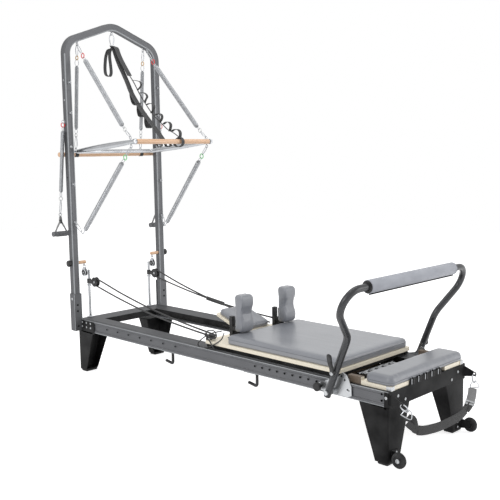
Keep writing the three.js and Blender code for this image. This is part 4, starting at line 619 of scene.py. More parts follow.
def darker(colour, share):
    """A colour cut down to a share of itself."""
    return tuple(c * share for c in colour)


def lighter(colour, share):
    """A colour moved a share of the way to white."""
    return tuple(c + (1 - c) * share for c in colour)


def anodised(name, colour):
    made = Recipe(name, colour, 0.45, Metallic=0.5, Specular_IOR_Level=0.2, Specular_Tint=(0.4, 0.4, 0.4))
    fine = made.noise(3, 4, stretch=(2, 60, 900))
    cloud = made.noise(6, 2)
    grain = made.ramp(fine, 0.3, 0.7)
    tone = made.mix(grain, darker(colour, 0.86), lighter(colour, 0.05))
    tone = made.mix(made.ramp(cloud, 0.35, 0.75, 0, 0.35), tone, darker(colour, 0.8))
    wear = made.sum("MULTIPLY", made.worn(), made.ramp(made.noise(55), 0.45, 0.7, 0, 0.7))
    made.set("Base Color", made.mix(wear, tone, lighter(colour, 0.45)))
    made.set("Roughness", made.ramp(fine, 0.3, 0.7, 0.36, 0.5))
    made.set("Normal", made.bump(fine, 0.03, 0.4, made.edges(1.0)))
    return made.material


def coat():
    colour = shade("coat")
    made = Recipe("powder_coat", colour, 0.55, Specular_IOR_Level=0.12, Specular_Tint=(0.5, 0.5, 0.5))
    grain = made.cells(900.0)
    cloud = made.noise(9, 3)
    wear = made.sum("MULTIPLY", made.worn(1.5), made.ramp(made.noise(70), 0.5, 0.72, 0, 0.6))
    tone = made.mix(made.ramp(cloud, 0.3, 0.7), darker(colour, 0.85), lighter(colour, 0.03))
    made.set("Base Color", made.mix(wear, tone, lighter(colour, 0.25)))
    made.set("Roughness", made.ramp(cloud, 0.3, 0.7, 0.5, 0.62))
    made.set("Normal", made.bump(grain, 0.08, 0.5, made.edges(1.2)))
    return made.material


def metal(name, colour, roughness, brushed=(1, 1, 1), depth=0.02):
    made = Recipe(name, colour, roughness, Metallic=1.0)
    lines = made.noise(40, 4, stretch=brushed)
    spots = made.noise(18, 3)
    made.set("Base Color", made.mix(made.ramp(spots, 0.35, 0.75), colour, darker(colour, 0.82)))
    made.set("Roughness", made.ramp(lines, 0.3, 0.7, roughness * 0.75, roughness * 1.35))
    made.set("Normal", made.bump(lines, depth, 0.5, made.edges(0.6)))
    return made.material


def ply():
    """Birch plywood: figured faces, and veneer layers at the edges."""
    colour = shade("birch")
    made = Recipe("birch_plywood", colour, 0.42, Coat_Weight=0.12, Coat_Roughness=0.3)
    drift = made.noise(2, 2, stretch=(3, 9, 3))
    figure = made.noise(3, 6, 0.62, stretch=(2, 46, 2))
    pores = made.noise(1.5, 3, stretch=(9, 700, 9))
    face = made.mix(made.ramp(figure, 0.36, 0.68), lighter(colour, 0.1), darker(colour, 0.9))
    face = made.mix(made.ramp(pores, 0.55, 0.75, 0, 0.25), face, darker(colour, 0.72))
    face = made.mix(made.ramp(drift, 0.3, 0.7, 0, 0.2), face, darker(colour, 0.92))
    height = made.node("SeparateXYZ", {0: made.at()}, out=2)
    layer = made.sum("FRACT", made.sum("DIVIDE", height, 0.0036))
    band = made.sum("GREATER_THAN", layer, 0.5)
    fibre = made.noise(2, 3, stretch=(60, 60, 400))
    edge = made.mix(band, lighter(colour, 0.2), darker(colour, 0.84))
    edge = made.mix(made.ramp(fibre, 0.4, 0.75, 0, 0.3), edge, darker(colour, 0.6))
    normal = made.node("SeparateXYZ", {0: made.node("TexCoord", out="Normal")}, out=2)
    upward = made.sum("GREATER_THAN", made.sum("ABSOLUTE", normal), 0.6)
    made.set("Base Color", made.mix(upward, edge, face))
    made.set("Roughness", made.ramp(figure, 0.3, 0.7, 0.36, 0.5))
    made.set("Normal", made.bump(pores, 0.05, 0.5, made.edges(1.4)))
    return made.material


def beech():
    colour = shade("beech")
    made = Recipe("turned_beech", colour, 0.38, Coat_Weight=0.3, Coat_Roughness=0.22)
    figure = made.noise(1.6, 5, 0.6, stretch=(60, 3, 60))
    flecks = made.noise(1.2, 2, stretch=(420, 50, 420))
    tone = made.mix(made.ramp(figure, 0.35, 0.7), lighter(colour, 0.12), darker(colour, 0.78))
    made.set("Base Color", made.mix(made.ramp(flecks, 0.56, 0.72, 0, 0.6), tone, darker(colour, 0.55)))
    made.set("Roughness", made.ramp(figure, 0.3, 0.7, 0.32, 0.46))
    made.set("Normal", made.bump(flecks, 0.04, 0.5))
    return made.material


def vinyl():
    """Upholstery vinyl: fine leather grain with a soft sheen, painted shade in the grain's valleys and
    painted highlight on its wrinkles.
    """
    colour = shade("vinyl")
    made = Recipe("upholstery_vinyl", colour, 0.42, Coat_Weight=0.8, Coat_Roughness=0.3)
    cells = made.cells(620.0, feature="DISTANCE_TO_EDGE")
    crease = made.noise(240, 3)
    cloud = made.noise(5, 3)
    wrinkles_and_sheen = made.noise(1, 3, stretch=(3, 26, 26))
    tone = made.mix(made.ramp(cloud, 0.3, 0.7), darker(colour, 0.93), lighter(colour, 0.04))
    # Painted highlight: the stretched wrinkles are lighter in colour, for their sheen; the same noise bumps
    # them as real wrinkles.
    tone = made.mix(made.ramp(wrinkles_and_sheen, 0.45, 0.7, 0, 0.3), tone, lighter(colour, 0.12))
    # Painted shade: the grain's valleys are darker.
    made.set("Base Color", made.mix(made.ramp(cells, 0.0, 0.12, 0.35, 0), tone, darker(colour, 0.72)))
    made.set("Roughness", made.ramp(crease, 0.3, 0.7, 0.36, 0.5))
    grain = made.bump(wrinkles_and_sheen, 6.0, 0.3, made.bump(cells, 0.12, 0.4))
    made.set("Normal", made.bump(crease, 0.25, 0.25, grain))
    return made.material


def foam():
    colour = shade("foam")
    made = Recipe("roller_foam", colour, 0.7, Sheen_Weight=0.1)
    cells = made.cells(750.0)
    cloud = made.noise(26, 3, stretch=(1, 0.4, 1))
    made.set("Base Color", made.mix(made.ramp(cloud, 0.3, 0.7), darker(colour, 0.9), lighter(colour, 0.05)))
    made.set("Normal", made.bump(cells, 0.2, 0.5))
    return made.material


def plastic(name, colour, roughness=0.42):
    made = Recipe(name, colour, roughness, Specular_IOR_Level=0.3)
    fine = made.noise(700, 2)
    cloud = made.noise(30, 3)
    tone = made.mix(made.ramp(cloud, 0.35, 0.7), darker(colour, 0.86), lighter(colour, 0.04))
    made.set("Base Color", made.mix(made.sum("MULTIPLY", made.worn(0.8), 0.25), tone, lighter(colour, 0.3)))
    made.set("Roughness", made.ramp(cloud, 0.3, 0.7, roughness * 0.85, roughness * 1.2))
    made.set("Normal", made.bump(fine, 0.05, 0.4, made.edges(0.6)))
    return made.material


def woven(name, colour, across, along):
    """A ribbed weave that follows the piece's own chart."""
    made = Recipe(name, colour, 0.8, Specular_IOR_Level=0.15, Sheen_Weight=0.05, Sheen_Roughness=0.4)
    parts = made.tree.nodes.new("ShaderNodeSeparateXYZ")
    made.put(parts.inputs[0], made.at((TURN / across / MM, TURN / along / MM, 1), "UV"))
    rib = made.sum("SINE", parts.outputs[0])
    thread = made.sum("SINE", made.sum("ADD", parts.outputs[1], made.sum("MULTIPLY", rib, 1.4)))
    height = made.sum("MULTIPLY", made.sum("ADD", rib, made.sum("MULTIPLY", thread, 0.7)), 0.5)
    fuzz = made.noise(900, 2)
    # Painted shade and highlight: the weave's valleys are darker and its ribs lighter.
    tone = made.mix(made.ramp(height, -0.8, 0.8), darker(colour, 0.55), lighter(colour, 0.1))
    made.set("Base Color", made.mix(made.ramp(fuzz, 0.4, 0.8, 0, 0.3), tone, lighter(colour, 0.18)))
    made.set("Normal", made.bump(height, 0.3, 0.7))
    return made.material


def lacquer():
    colour = shade("gloss")
    made = Recipe("footbar_lacquer", colour, 0.3, Metallic=0.2, Specular_IOR_Level=0.3,
                  Coat_Weight=0.25, Coat_Roughness=0.08)
    flakes = made.cells(1500.0)
    cloud = made.noise(14, 3)
    made.set("Base Color", made.mix(made.ramp(flakes, 0.0, 0.6), lighter(colour, 0.1), darker(colour, 0.8)))
    made.set("Roughness", made.ramp(cloud, 0.3, 0.7, 0.24, 0.36))
    made.set("Normal", made.bump(cloud, 0.1, 0.1))
    return made.material


def hollow():
    """Painted shade: a near-black finish for the shade in holes, grooves, behind the spring hooks and inside
    the springs, also on the sockets' front bolts.
    """
    made = Recipe("drilled_hole", (0.004, 0.004, 0.005), 0.9)
    made.set("Base Color", made.mix(made.noise(300), (0.003,) * 3, (0.012,) * 3))
    return made.material


# Millimetres from rib to rib across and along a weave
WEAVE = (3.2, 2.2)
BRAID = (6.28, 6.0)
# Each finish has the record's material slot that stands for it, and what makes it
FINISHES = {
    "anodised": ("anodised", lambda: anodised("anodised_aluminium", shade("anodised"))),
    # Painted highlight: a lighter copy of the anodised finish, for the glint on chamfers and edges.
    "edge": ("anodised", lambda: anodised("cut_aluminium_edge", shade("edge"))),
    "coat": ("black_coat", coat),
    "chrome": ("chrome", lambda: metal("bright_steel", shade("steel"), 0.2)),
    "spring_steel": ("spring_steel", lambda: metal("spring_wire", darker(shade("steel"), 0.9), 0.32)),
    "stainless": ("stainless", lambda: metal("brushed_stainless", shade("brushed"), 0.34, (6, 1, 40), 0.04)),
    "ply": ("plywood", ply),
    "beech": ("beech", beech),
    "vinyl": ("vinyl", vinyl),
    "piping": ("vinyl", lambda: plastic("vinyl_piping", darker(shade("vinyl"), 0.72), 0.5)),
    "foam": ("vinyl", foam),
    "plastic": ("black_plastic", lambda: plastic("moulded_plastic", shade("plastic"))),
    "rubber": ("black_plastic", lambda: plastic("rubber_tyre", darker(shade("plastic"), 0.8), 0.75)),
    "webbing": ("webbing", lambda: woven("strap_webbing", shade("webbing"), *WEAVE)),
    "padding": ("webbing", lambda: woven("padded_webbing", shade("padding"), *WEAVE)),
    "panel": ("webbing", lambda: woven("grey_webbing", lighter(shade("webbing"), 0.22), *WEAVE)),
    # Painted shade: the runners' birch darkened to the shade they sit in.
    "runner": ("plywood", lambda: plastic("painted_runner", shade("runner"), 0.5)),
    "grip": ("black_plastic", lambda: plastic("moulded_grip", shade("grip"), 0.5)),
    "rope": ("rope", lambda: woven("braided_rope", shade("rope"), *BRAID)),
    "lacquer": ("charcoal_gloss", lacquer),
    "strong": ("chrome", lambda: plastic("strong_marker", shade("strong"), 0.35)),
    "middle": ("chrome", lambda: plastic("middle_marker", shade("middle"), 0.35)),
    "light": ("chrome", lambda: plastic("light_marker", shade("light"), 0.35)),
    "pale": ("chrome", lambda: plastic("pale_ring", shade("pale"), 0.35)),
    # Painted shade: the near-black finish that stands in for shade in holes and recesses.
    "hollow": ("black_plastic", hollow),
}
MADE = {}


def finish(name):
    """The material of that name, made when it is first asked for."""
    if name not in MADE:
        MADE[name] = FINISHES[name][1]()
    return MADE[name]


def dress(node, name, bevel=0.0):
    """A frame node that stays gets its finish and soft edges."""
    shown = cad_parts[node]
    for place in shown.material_slots:
        place.material = finish(name)
    if not shown.material_slots:
        shown.data.materials.append(finish(name))
    if bevel:
        soften(shown, bevel)


# Stage and camera


def ground():
    """Pale floor that shows white to the camera and in metal, and keeps the object's shadow."""
    colour = shade("floor")
    made = Recipe("pale_floor", colour, 0.9, Specular_IOR_Level=0.1)
    mottle = made.noise(3, 2)
    made.set("Base Color", made.mix(mottle, colour, darker(colour, 0.985)))
    made.set("Emission Color", (1, 1, 1))
    rays = made.tree.nodes.new("ShaderNodeLightPath").outputs
    seen = made.sum("MAXIMUM", rays["Is Camera Ray"], made.sum(
        "MAXIMUM", rays["Is Glossy Ray"], rays["Is Transmission Ray"]))
    made.set("Emission Strength", made.sum("MULTIPLY", seen, DAYLIGHT))
    return made.material


def make_world():
    """An even light that is white where the camera or metal sees it."""
    world = bpy.data.worlds.new("studio")
    bpy.context.scene.world = world
    world.use_nodes = True
    tree = world.node_tree
    light = tree.nodes["Background"]
    rays = tree.nodes.new("ShaderNodeLightPath").outputs
    first, second, level = [tree.nodes.new("ShaderNodeMath") for _ in range(3)]
    first.operation = second.operation = "MAXIMUM"
    tree.links.new(rays["Is Camera Ray"], first.inputs[0])
    tree.links.new(rays["Is Glossy Ray"], first.inputs[1])
    tree.links.new(first.outputs[0], second.inputs[0])
    tree.links.new(rays["Is Transmission Ray"], second.inputs[1])
    level.operation = "MULTIPLY_ADD"
    tree.links.new(second.outputs[0], level.inputs[0])
    level.inputs[1].default_value, level.inputs[2].default_value = 1 - DAYLIGHT, DAYLIGHT
    tree.links.new(level.outputs[0], light.inputs["Strength"])
    light.inputs["Color"].default_value = (1, 1, 1, 1)


def make_lamp(name, place, target, size, power):
    data = bpy.data.lights.new(name, "AREA")
    data.shape, data.size, data.energy = "DISK", size, power
    lamp = bpy.data.objects.new(name, data)
    bpy.context.scene.collection.objects.link(lamp)
    lamp.location = place
    lamp.rotation_euler = (Vector(target) - Vector(place)).to_track_quat("-Z", "Y").to_euler()


def make_camera():
    """The camera at the photograph's place."""
    data = bpy.data.cameras.new("camera")
    data.sensor_width, data.lens = CAMERA.sensor, CAMERA.lens
    data.shift_x, data.shift_y = CAMERA.shift
    yaw, pitch, roll = CAMERA.yaw, CAMERA.pitch, CAMERA.roll
    ahead = Vector((-math.sin(yaw) * math.cos(pitch), math.cos(yaw) * math.cos(pitch), math.sin(pitch)))
    right = Vector((math.cos(yaw), math.sin(yaw), 0))
    up = right.cross(ahead)
    level = math.cos(roll) * right + math.sin(roll) * up
    upward = math.cos(roll) * up - math.sin(roll) * right
    camera = bpy.data.objects.new("camera", data)
    bpy.context.scene.collection.objects.link(camera)
    turned = Matrix((level, upward, -ahead)).transposed().to_4x4()
    camera.matrix_world = Matrix.Translation(CAMERA.place) @ turned
    bpy.context.scene.camera = camera


class REFORMER_OT_stage(bpy.types.Operator):
    """Add the floor, the soft light and the camera"""
    bl_idname = "reformer.stage"
    bl_label = "Stage"

    def execute(self, context):
        context.scene.view_settings.view_transform = "Standard"
        floor = meshed("floor", Form().box(-9000, 11500, -9000, 9000, -22, -1), [ground()])
        make_world()
        for lamp in LAMPS:
            make_lamp(*lamp)
        make_camera()
        return {"FINISHED"}


# Ropes


def sagging(a, b):
    """Three places on a stretch that hangs between two others."""
    return [a + (b - a) * share - Z_AXIS * ROPE.sag * math.sin(math.pi * share)
            for share in (0.25, 0.5, 0.75)]


def rope_line(loops):
    """From the loops round the carriage's stud, round the sheave and back to the carriage."""
    seat = BOARD.top + GAP + ROPE.radius
    stud = spot(ROPE.stud_x, -ROPE.stud_y, seat)
    wheel = spot(SHEAVE.x, -RISER.y, SHEAVE.z)
    around = SHEAVE.groove + ROPE.radius + GAP
    line = []
    for i in range(loops * WOUND.steps + 1):
        angle = TURN * i / WOUND.steps - TURN / 4
        line.append(stud + (-WOUND.long * math.cos(angle), WOUND.wide * math.sin(angle),
                            i / WOUND.steps * WOUND.rise))
    line += sagging(line[-1], wheel - Z_AXIS * around)
    for share in np.linspace(0, 1, 9):
        angle = -TURN / 4 - TURN / 2 * share
        line.append(wheel + (around * math.cos(angle), 0, around * math.sin(angle)))
    end = spot(ROPE.end_x, -ROPE.end_y, seat + 2 * ROPE.radius)
    line += [*sagging(line[-1], end), end]
    return curve(line, 260)


class REFORMER_OT_ropes(bpy.types.Operator):
    """Add the two ropes from the carriage round their pulleys"""
    bl_idname = "reformer.ropes"
    bl_label = "Ropes"

    def execute(self, context):
        ends = [spot(x, 0, ROPE.level) for x in ROPE.bend]
        for side, loops in (("left", 2), ("right", 1)):
            line = rope_line(loops) * (1, -SIDES[side], 1)
            form = Form().tube(line, ROPE.shown, 12)
            made = piece(f"carriage_rope_{side}", form, "rope", ("base", "carriage"),
                         replaces=f"rope_{side}", blend=ends, smooth=60)
            path = in_row(line)
            long_of(path)
            if side == "right":
                self.sleeve(line, ends)
        self.tail()
        return {"FINISHED"}

    def tail(self):
        """The loose tail of the left rope that hangs over the carriage's corner."""
        form, y = Form(), -304
        loops = (((1333, 453), (1261, 432), (1187, 393), (1140, 351), (1177, 335), (1259, 362), (1332, 409),
                  (1356, 446)),
                 ((1188, 421), (1236, 389), (1275, 351), (1313, 322)),
                 ((1213, 424), (1244, 401), (1300, 421), (1277, 445), (1221, 437), (1206, 412)))
        for loop in loops:
            form.tube(curve([(x, y - 3 * (k % 3), z) for k, (x, z) in enumerate(loop)], 40), 3.2, 10)
        piece("rope_tail", form, "rope", "carriage")

    def sleeve(self, line, ends):
        """The wide webbing that carries the right rope to its clip, on the rope's upper stretch."""
        shown = line[(line[:, 0] > SLEEVE.head) & (line[:, 0] < SLEEVE.foot)]
        half = len(shown) // 2
        upper = shown[:half] if shown[0][0] > shown[half][0] else shown[half:]
        form = Form().sweep(evenly(upper, 12), slab(SLEEVE.width, SLEEVE.height, 3), across=Z_AXIS)
        piece("rope_sleeve", form, "webbing", ("base", "carriage"), blend=ends)


# Rails, crossbeams and legs


def drilled(form, x, z, radius=HOLES.radius, y=-RAIL.face):
    """A near-black disc a hair proud of an outer face: painted shade for the mouth of a drilled hole."""
    return form.turned([(radius, 0.35), (0, 0.35)], spot(x, y, z), -Y_AXIS, 20)


class REFORMER_OT_rails(bpy.types.Operator):
    """Finish the rails and the crossbeams, with their holes and bolts"""
    bl_idname = "reformer.rails"
    bl_label = "Rails"

    def execute(self, context):
        for node in ("rail_left", "rail_right"):
            dress(node, "anodised")
        dress("head_crossbeam", "anodised")
        dress("foot_crossbeam", "coat", 0.8)
        # Painted shade: near-black discs for the shade in the rails' holes.
        holes = Form()
        for x in (*np.linspace(*HOLES.head), *np.linspace(*HOLES.foot)):
            drilled(holes, x, HOLES.z)
        for z in HOLES.end_z:
            drilled(holes, HOLES.end_x, z)
        pair("rail_holes", holes, "hollow", "base")
        bolts = Form()
        for x, z in [(x, z) for x in (46, 92, 137) for z in (328, 300)] + [(2416, 316)]:
            bolts.bolt(spot(x, -LEG.face, z), -Y_AXIS, *FRAME_BOLT)
        for y, z in ((-258, 314), (-200, 286)):
            bolts.bolt(spot(RAIL.length + 5.3, y, z), X_AXIS, *FRAME_BOLT)
        pair("frame_bolts", bolts, "stainless", "base")
        # Painted highlight: lighter strips along the rails' outer faces, at the top and bottom edges, for
        # the edges' glint.
        lines = Form()
        for z in (RAIL.top - 1.2, RAIL.bottom + 1.2):
            lines.sweep([spot(2, -RAIL.face - 0.2, z), spot(RAIL.length - 2, -RAIL.face - 0.2, z)],
                        slab(4.2, 1.8, 0.8), across=Z_AXIS)
        pair("rail_lines", lines, "edge", "base")
        self.shade_sheets()
        self.storage()
        return {"FINISHED"}

    def shade_sheets(self):
        """Painted shade: black sheets over the rails' and the crossbeam's inner faces, and a brownish sheet
        under the springs.
        """
        low, high = 302, 341
        shade_sheet = Form().box(125, RAIL.length - 42, -212.8, -211.2, low, high)
        pair("rail_liner", shade_sheet, "coat", "base")
        shade_sheet = Form().box(124.2, 125.6, -210, 210, low, high)
        piece("crossbeam_liner", shade_sheet, "coat", "base")
        # Painted shade: a brownish sheet under the springs stands in for the shade there.
        head, half, floor = 2010, 182, 291
        shade_pan = Form().box(head, 2386, -half, half, floor, floor + 4)
        shade_pan.box(head, head + 4, -half, half, floor + 4, floor + 21)
        piece("spring_pan", shade_pan, "runner", "base", slot="black_coat", bevel=0.6)

    def storage(self):
        """The two hooks under the left rail."""
        hooks, y = Form(), -STORAGE.y
        low = RAIL.bottom - STORAGE.drop
        for x in STORAGE.x:
            end = spot(x - STORAGE.reach, y, low + STORAGE.rise)
            bent = route([spot(x, y, RAIL.bottom - 4), spot(x, y, low), end], 12, 8)
            hooks.tube(bent, STORAGE.radius, 20)
            hooks.box(x - 89, x + 19, y - 10, y + 10, RAIL.bottom - 5.2, RAIL.bottom - 0.4)
        piece("storage_hooks", hooks, "plastic", "base", bevel=0.6)


def arc_of(centre, radius, first, last, count):
    """Places in a plane on an arc between two angles."""
    return [(centre[0] + radius * math.cos(a), centre[1] + radius * math.sin(a))
            for a in np.linspace(first, last, count)]


def folded(along, across, lip, outer=9, count=6):
    """A folded sheet seen from above, with round folds: the rail's face, the end face and the lip."""
    inner = outer - LEG.sheet
    near, far = (outer, outer), (outer, across - outer)
    half, three = math.pi, 1.5 * math.pi
    return np.array([(along, 0), *arc_of(near, outer, three, half, count),
                     *arc_of(far, outer, half, half / 2, count), (lip, across), (lip, across - LEG.sheet),
                     *arc_of(far, inner, half / 2, half, count), *arc_of(near, inner, half, three, count),
                     (along, LEG.sheet)])


def leg_form(corner, way, plate):
    """A tapered leg at the rail's end. The corner is its outer edge and way points along the rail."""
    def ring(z, along, across, lip):
        flat = folded(along, across, lip)
        return np.stack([corner + way * flat[:, 0], flat[:, 1] - LEG.face, np.full(len(flat), z)], 1)
    form = Form().loft([ring(*LEG.low), ring(*LEG.high)])
    top, _, across, lip = LEG.high
    form.box(corner, corner + way * lip, -LEG.face, across - LEG.face, top - LEG.sheet, top)
    form.box(*sorted((corner + way * 5, corner + way * 62)), -LEG.face + LEG.sheet, -236, 12, 17)
    form.box(*plate, -LEG.face, -LEG.face + 3, 262, 341)
    form.marked(1)
    near, far, outer, inner = corner + way * 8, corner + way * 60, -320.3, -238.3
    foot = [spot(near, outer, 0), spot(far, outer, 0), spot(far, inner, 0), spot(near, inner, 0)]
    middle = sum(foot) / 4
    form.loft([[middle + (p - middle) * 0.92 for p in foot], [p + Z_AXIS * 4 for p in foot],
               [p + Z_AXIS * 13 for p in foot]])
    return form.marked(0)


class REFORMER_OT_legs(bpy.types.Operator):
    """Add the four folded legs and the transport wheels"""
    bl_idname = "reformer.legs"
    bl_label = "Legs"

    def execute(self, context):
        pair("head_leg_sheet", leg_form(0, 1, (43, 175)), "coat rubber", "base", "head_leg_", bevel=0.9)
        form = leg_form(RAIL.length, -1, (2405, RAIL.length))
        self.bracket(form)
        pair("foot_leg_sheet", form, "coat rubber", "base", "foot_leg_", bevel=0.9)
        self.wheels()
        return {"FINISHED"}

    def bracket(self, form):
        """The angle that carries a transport wheel."""
        low, high, outer = 18, 70, -WHEEL.arm_y
        form.box(2426, 2431, outer, outer + 44, low, high)
        nose = [(WHEEL.x + 14 * math.sin(a), WHEEL.z - 14 * math.cos(a)) for a in np.linspace(0, math.pi, 9)]
        form.plate([(2427, low), *nose, (2427, high)], "y", outer, outer + 8)

    def wheels(self):
        axle = spot(WHEEL.x, -WHEEL.arm_y, WHEEL.z)
        bolts = Form().bolt(axle - Y_AXIS * (WHEEL.width + 2 * GAP), -Y_AXIS, 8, 4.6)
        bolts.rod(axle, axle - Y_AXIS * (WHEEL.width + 1), 5)
        for z in (32, 56):
            bolts.bolt(spot(2431, -266, z), X_AXIS, 4.5, 3)
        pair("wheel_axle", bolts, "stainless", "base")
        rim, half = WHEEL.radius, WHEEL.width / 2
        outline = both_ways([(5.4, -half), (14, -half), (14, 3 - half), (24, 3 - half), (24, 0.5 - half),
                             (31, 0.5 - half), (34.5, 4 - half), (rim, -4)])
        tyre = Form().turned(outline, axle - Y_AXIS * (GAP + half), Y_AXIS, 40, closed=True)
        pair("transport_tyre", tyre, "rubber", "transport_wheel_", "transport_wheel_")


# Tower


def profile_section():
    """The tower's square profile: across runs forward, and the two front edges are cut off."""
    near, far, half, cut, rounded = -20.5, 20.5, ARCH.half, UPRIGHT.chamfer, 1.5
    return np.array(both_ways([(far, half - cut), (far - cut / 2, half), (near + rounded, half),
                               (near, half - rounded)]))


def painted_highlight_edges(form, outer_runs):
    """Gives the chamfers of a swept profile the painted highlight: the inner one, and the outer one for some
    runs.
    """
    for k in range(len(form.faces) - 2):
        if k % 8 == 0 or (k % 8 == 6 and k // 8 < outer_runs):
            form.marks[k] = 1
    return form


def under_arch(y):
    """The height of the arch's underside."""
    side = UPRIGHT.middle
    slope = (ARCH.peak - ARCH.shoulder) / side
    return ARCH.shoulder + slope * (side - abs(y)) - ARCH.half * math.hypot(1, slope)


class REFORMER_OT_tower(bpy.types.Operator):
    """Add the uprights, the arch and their eyebolts"""
    bl_idname = "reformer.tower"
    bl_label = "Tower"

    def execute(self, context):
        side, x = UPRIGHT.middle, UPRIGHT.x
        # Painted highlight: the chamfers of the uprights and the arch take the lighter edge finish.
        post = Form().sweep([spot(x, -side, UPRIGHT.foot), spot(x, -side, UPRIGHT.splice)],
                            profile_section(), across=X_AXIS)
        pair("upright_profile", painted_highlight_edges(post, 1), "anodised edge", "base", "upright_", bevel=0.7)
        start = UPRIGHT.splice + 0.5
        line = route([spot(x, -side, start), spot(x, -side, ARCH.shoulder), spot(x, 0, ARCH.peak),
                      spot(x, side, ARCH.shoulder), spot(x, side, start)],
                     [ARCH.corner, ARCH.crown, ARCH.corner], 16)
        arch = Form().sweep(line, profile_section(), across=X_AXIS)
        piece("arch_profile", painted_highlight_edges(arch, 1), "anodised edge", "base", replaces="arch", smooth=25)
        eyes = Form()
        for z in EYE.heights:
            eyes.eyebolt(spot(UPRIGHT.front, -side, z), X_AXIS, Y_AXIS)
        eyes.eyebolt(spot(ROLL.front_x, -ROLL.front_y, under_arch(ROLL.front_y)), -Z_AXIS, Y_AXIS)
        eyes.eyebolt(spot(ROLL.top_x, -ROLL.eye_y, under_arch(ROLL.eye_y)), -Z_AXIS, Y_AXIS)
        eyes.eyebolt(spot(x, -UPRIGHT.outer, ARM.top), -Y_AXIS, X_AXIS)
        pair("tower_eyes", eyes, "chrome", "base")
        crown = Form().eyebolt(spot(x, 0, under_arch(ARCH.half)), -Z_AXIS, Y_AXIS)
        crown.bolt(spot(x, 0, ARCH.peak - 2.4), Z_AXIS, 5, 3)
        piece("crown_eye", crown, "chrome", "base")
        self.bolts()
        return {"FINISHED"}

    def bolts(self):
        """The bolts of the tower and its sockets, and painted highlight strips along the sockets' front
        edges.
        """
        bright, dark = Form(), Form()
        bright.bolt(spot(UPRIGHT.x, -SOCKET.outer, SOCKET.side), -Y_AXIS, 7, 3.5)
        bright.bolt(spot(UPRIGHT.front, -UPRIGHT.middle, 1446), X_AXIS, 7, 4)
        # Painted highlight: lighter strips along the sockets' front edges.
        edges = Form()
        front = SOCKET.front - 0.2
        for y in (0.2 - SOCKET.outer, -0.2 - SOCKET.inner):
            edges.sweep([spot(front, y, SOCKET.low), spot(front, y, SOCKET.high)], slab(3, 3, 1.2),
                        across=X_AXIS)
        pair("socket_edges", edges, "edge", "base")
        for z in (1856, 1734):
            bright.bolt(spot(UPRIGHT.x, -UPRIGHT.outer, z), -Y_AXIS, 4.5, 2.5)
        for z in SOCKET.bolts:
            dark.bolt(spot(SOCKET.front, -UPRIGHT.middle - 4, z), X_AXIS, 5.5, 3)
        pair("tower_bolts", bright, "stainless", "base")
        drilled(dark, 12, 1253, 4, -UPRIGHT.outer)
        pair("socket_bolts", dark, "hollow", "base")


# Push-through bar


def push_points():
    """The pivot and front end of the push-through frame's left arm, and its two eyes."""
    back = spot(UPRIGHT.x, -PUSH.back_y, PUSH.pivot_z)
    end = spot(PUSH.x, -(PUSH.half + GAP + PUSH.tube), PUSH.z)
    way = unit(end - back)
    up = unit(spot(-way[2], 0, way[0]))
    base = end - way * 34
    reach = PUSH.tube - 2 + EYE.stand
    return Sizes(back=back, end=end, way=way, up=up, base=base,
                 top=base + up * reach, low=base - up * reach)


class REFORMER_OT_push_bar(bpy.types.Operator):
    """Add the push-through frame with its beech bar"""
    bl_idname = "reformer.push_bar"
    bl_label = "Push-through Bar"

    def execute(self, context):
        at = push_points()
        line = route([at.end, at.back, at.back * FLIP, at.end * FLIP], [PUSH.bend] * 2, 10)
        line = np.vstack([np.linspace(line[0], line[1], 25)[:-1], line[1:-1],
                          np.linspace(line[-2], line[-1], 25)[1:]])
        along = np.linalg.norm(line - at.end * np.where(line[:, 1:2] > 0, FLIP, 1), axis=1)
        deep = 1 + 0.5 * np.sin(np.pi * np.clip(along / np.linalg.norm(at.end - at.back), 0, 1))
        deep[np.abs(line[:, 0] - UPRIGHT.x) < 1] = 1
        tube = Form().tube(line, PUSH.tube, 28, across=at.up,
                           scale=np.column_stack([deep, np.ones(len(line))]))
        piece("push_tube", tube, "chrome", "push_frame", replaces="push_through_frame")
        self.fittings(at)
        half, r = PUSH.half, PUSH.wood
        outline = both_ways([(5.4, -half), (r - 1.5, -half), (r, 1.5 - half)])
        bar = Form().turned(outline, spot(PUSH.x, 0, PUSH.z), Y_AXIS, 40, closed=True)
        piece("beech_bar", bar, "beech", "push_bar", replaces="push_through_bar")
        return {"FINISHED"}

    def fittings(self, at):
        """The sleeves that hold the beech bar, the pivots, the eyes and the arms' end caps."""
        ends = Form()
        y = -(PUSH.half + GAP)
        sleeve = spot(PUSH.x, y, PUSH.z)
        # Painted shade: the groove ring on the sleeve takes the near-black finish.
        groove = [(15.6, -7), (16.3, -7), (16.3, -3), (15.6, -3)]
        ends.marked(1).turned(groove, sleeve, Y_AXIS, 36, closed=True)
        ends.marked(0)
        ends.turned([(13, -17), (15, -17), (16, -15.5), (16, -11), (15.2, -10.5), (15.2, -9.5), (16, -9),
                     (16, -1), (15, 0), (5, 0)], sleeve, Y_AXIS, 36)
        ends.rod(sleeve - Y_AXIS * 9, sleeve + Y_AXIS * 22, 5)
        pivot = spot(UPRIGHT.x, -UPRIGHT.inner + GAP, PUSH.pivot_z)
        ends.rod(spot(UPRIGHT.x, -PUSH.back_y + 12, PUSH.pivot_z), pivot, 8)
        ends.turned([(13, 0), (13, 5), (8, 6)], pivot, Y_AXIS)
        ends.eyebolt(at.base + at.up * (PUSH.tube - 2), at.up, Y_AXIS)
        ends.eyebolt(at.base - at.up * (PUSH.tube - 2), -at.up, Y_AXIS)
        ends.turned([(0, 15), (12, 15), (13, 13.5), (13, 0)], at.end - at.way * 1, at.way, 28)
        pair("push_fittings", ends, "chrome hollow", "push_frame")


# Springs


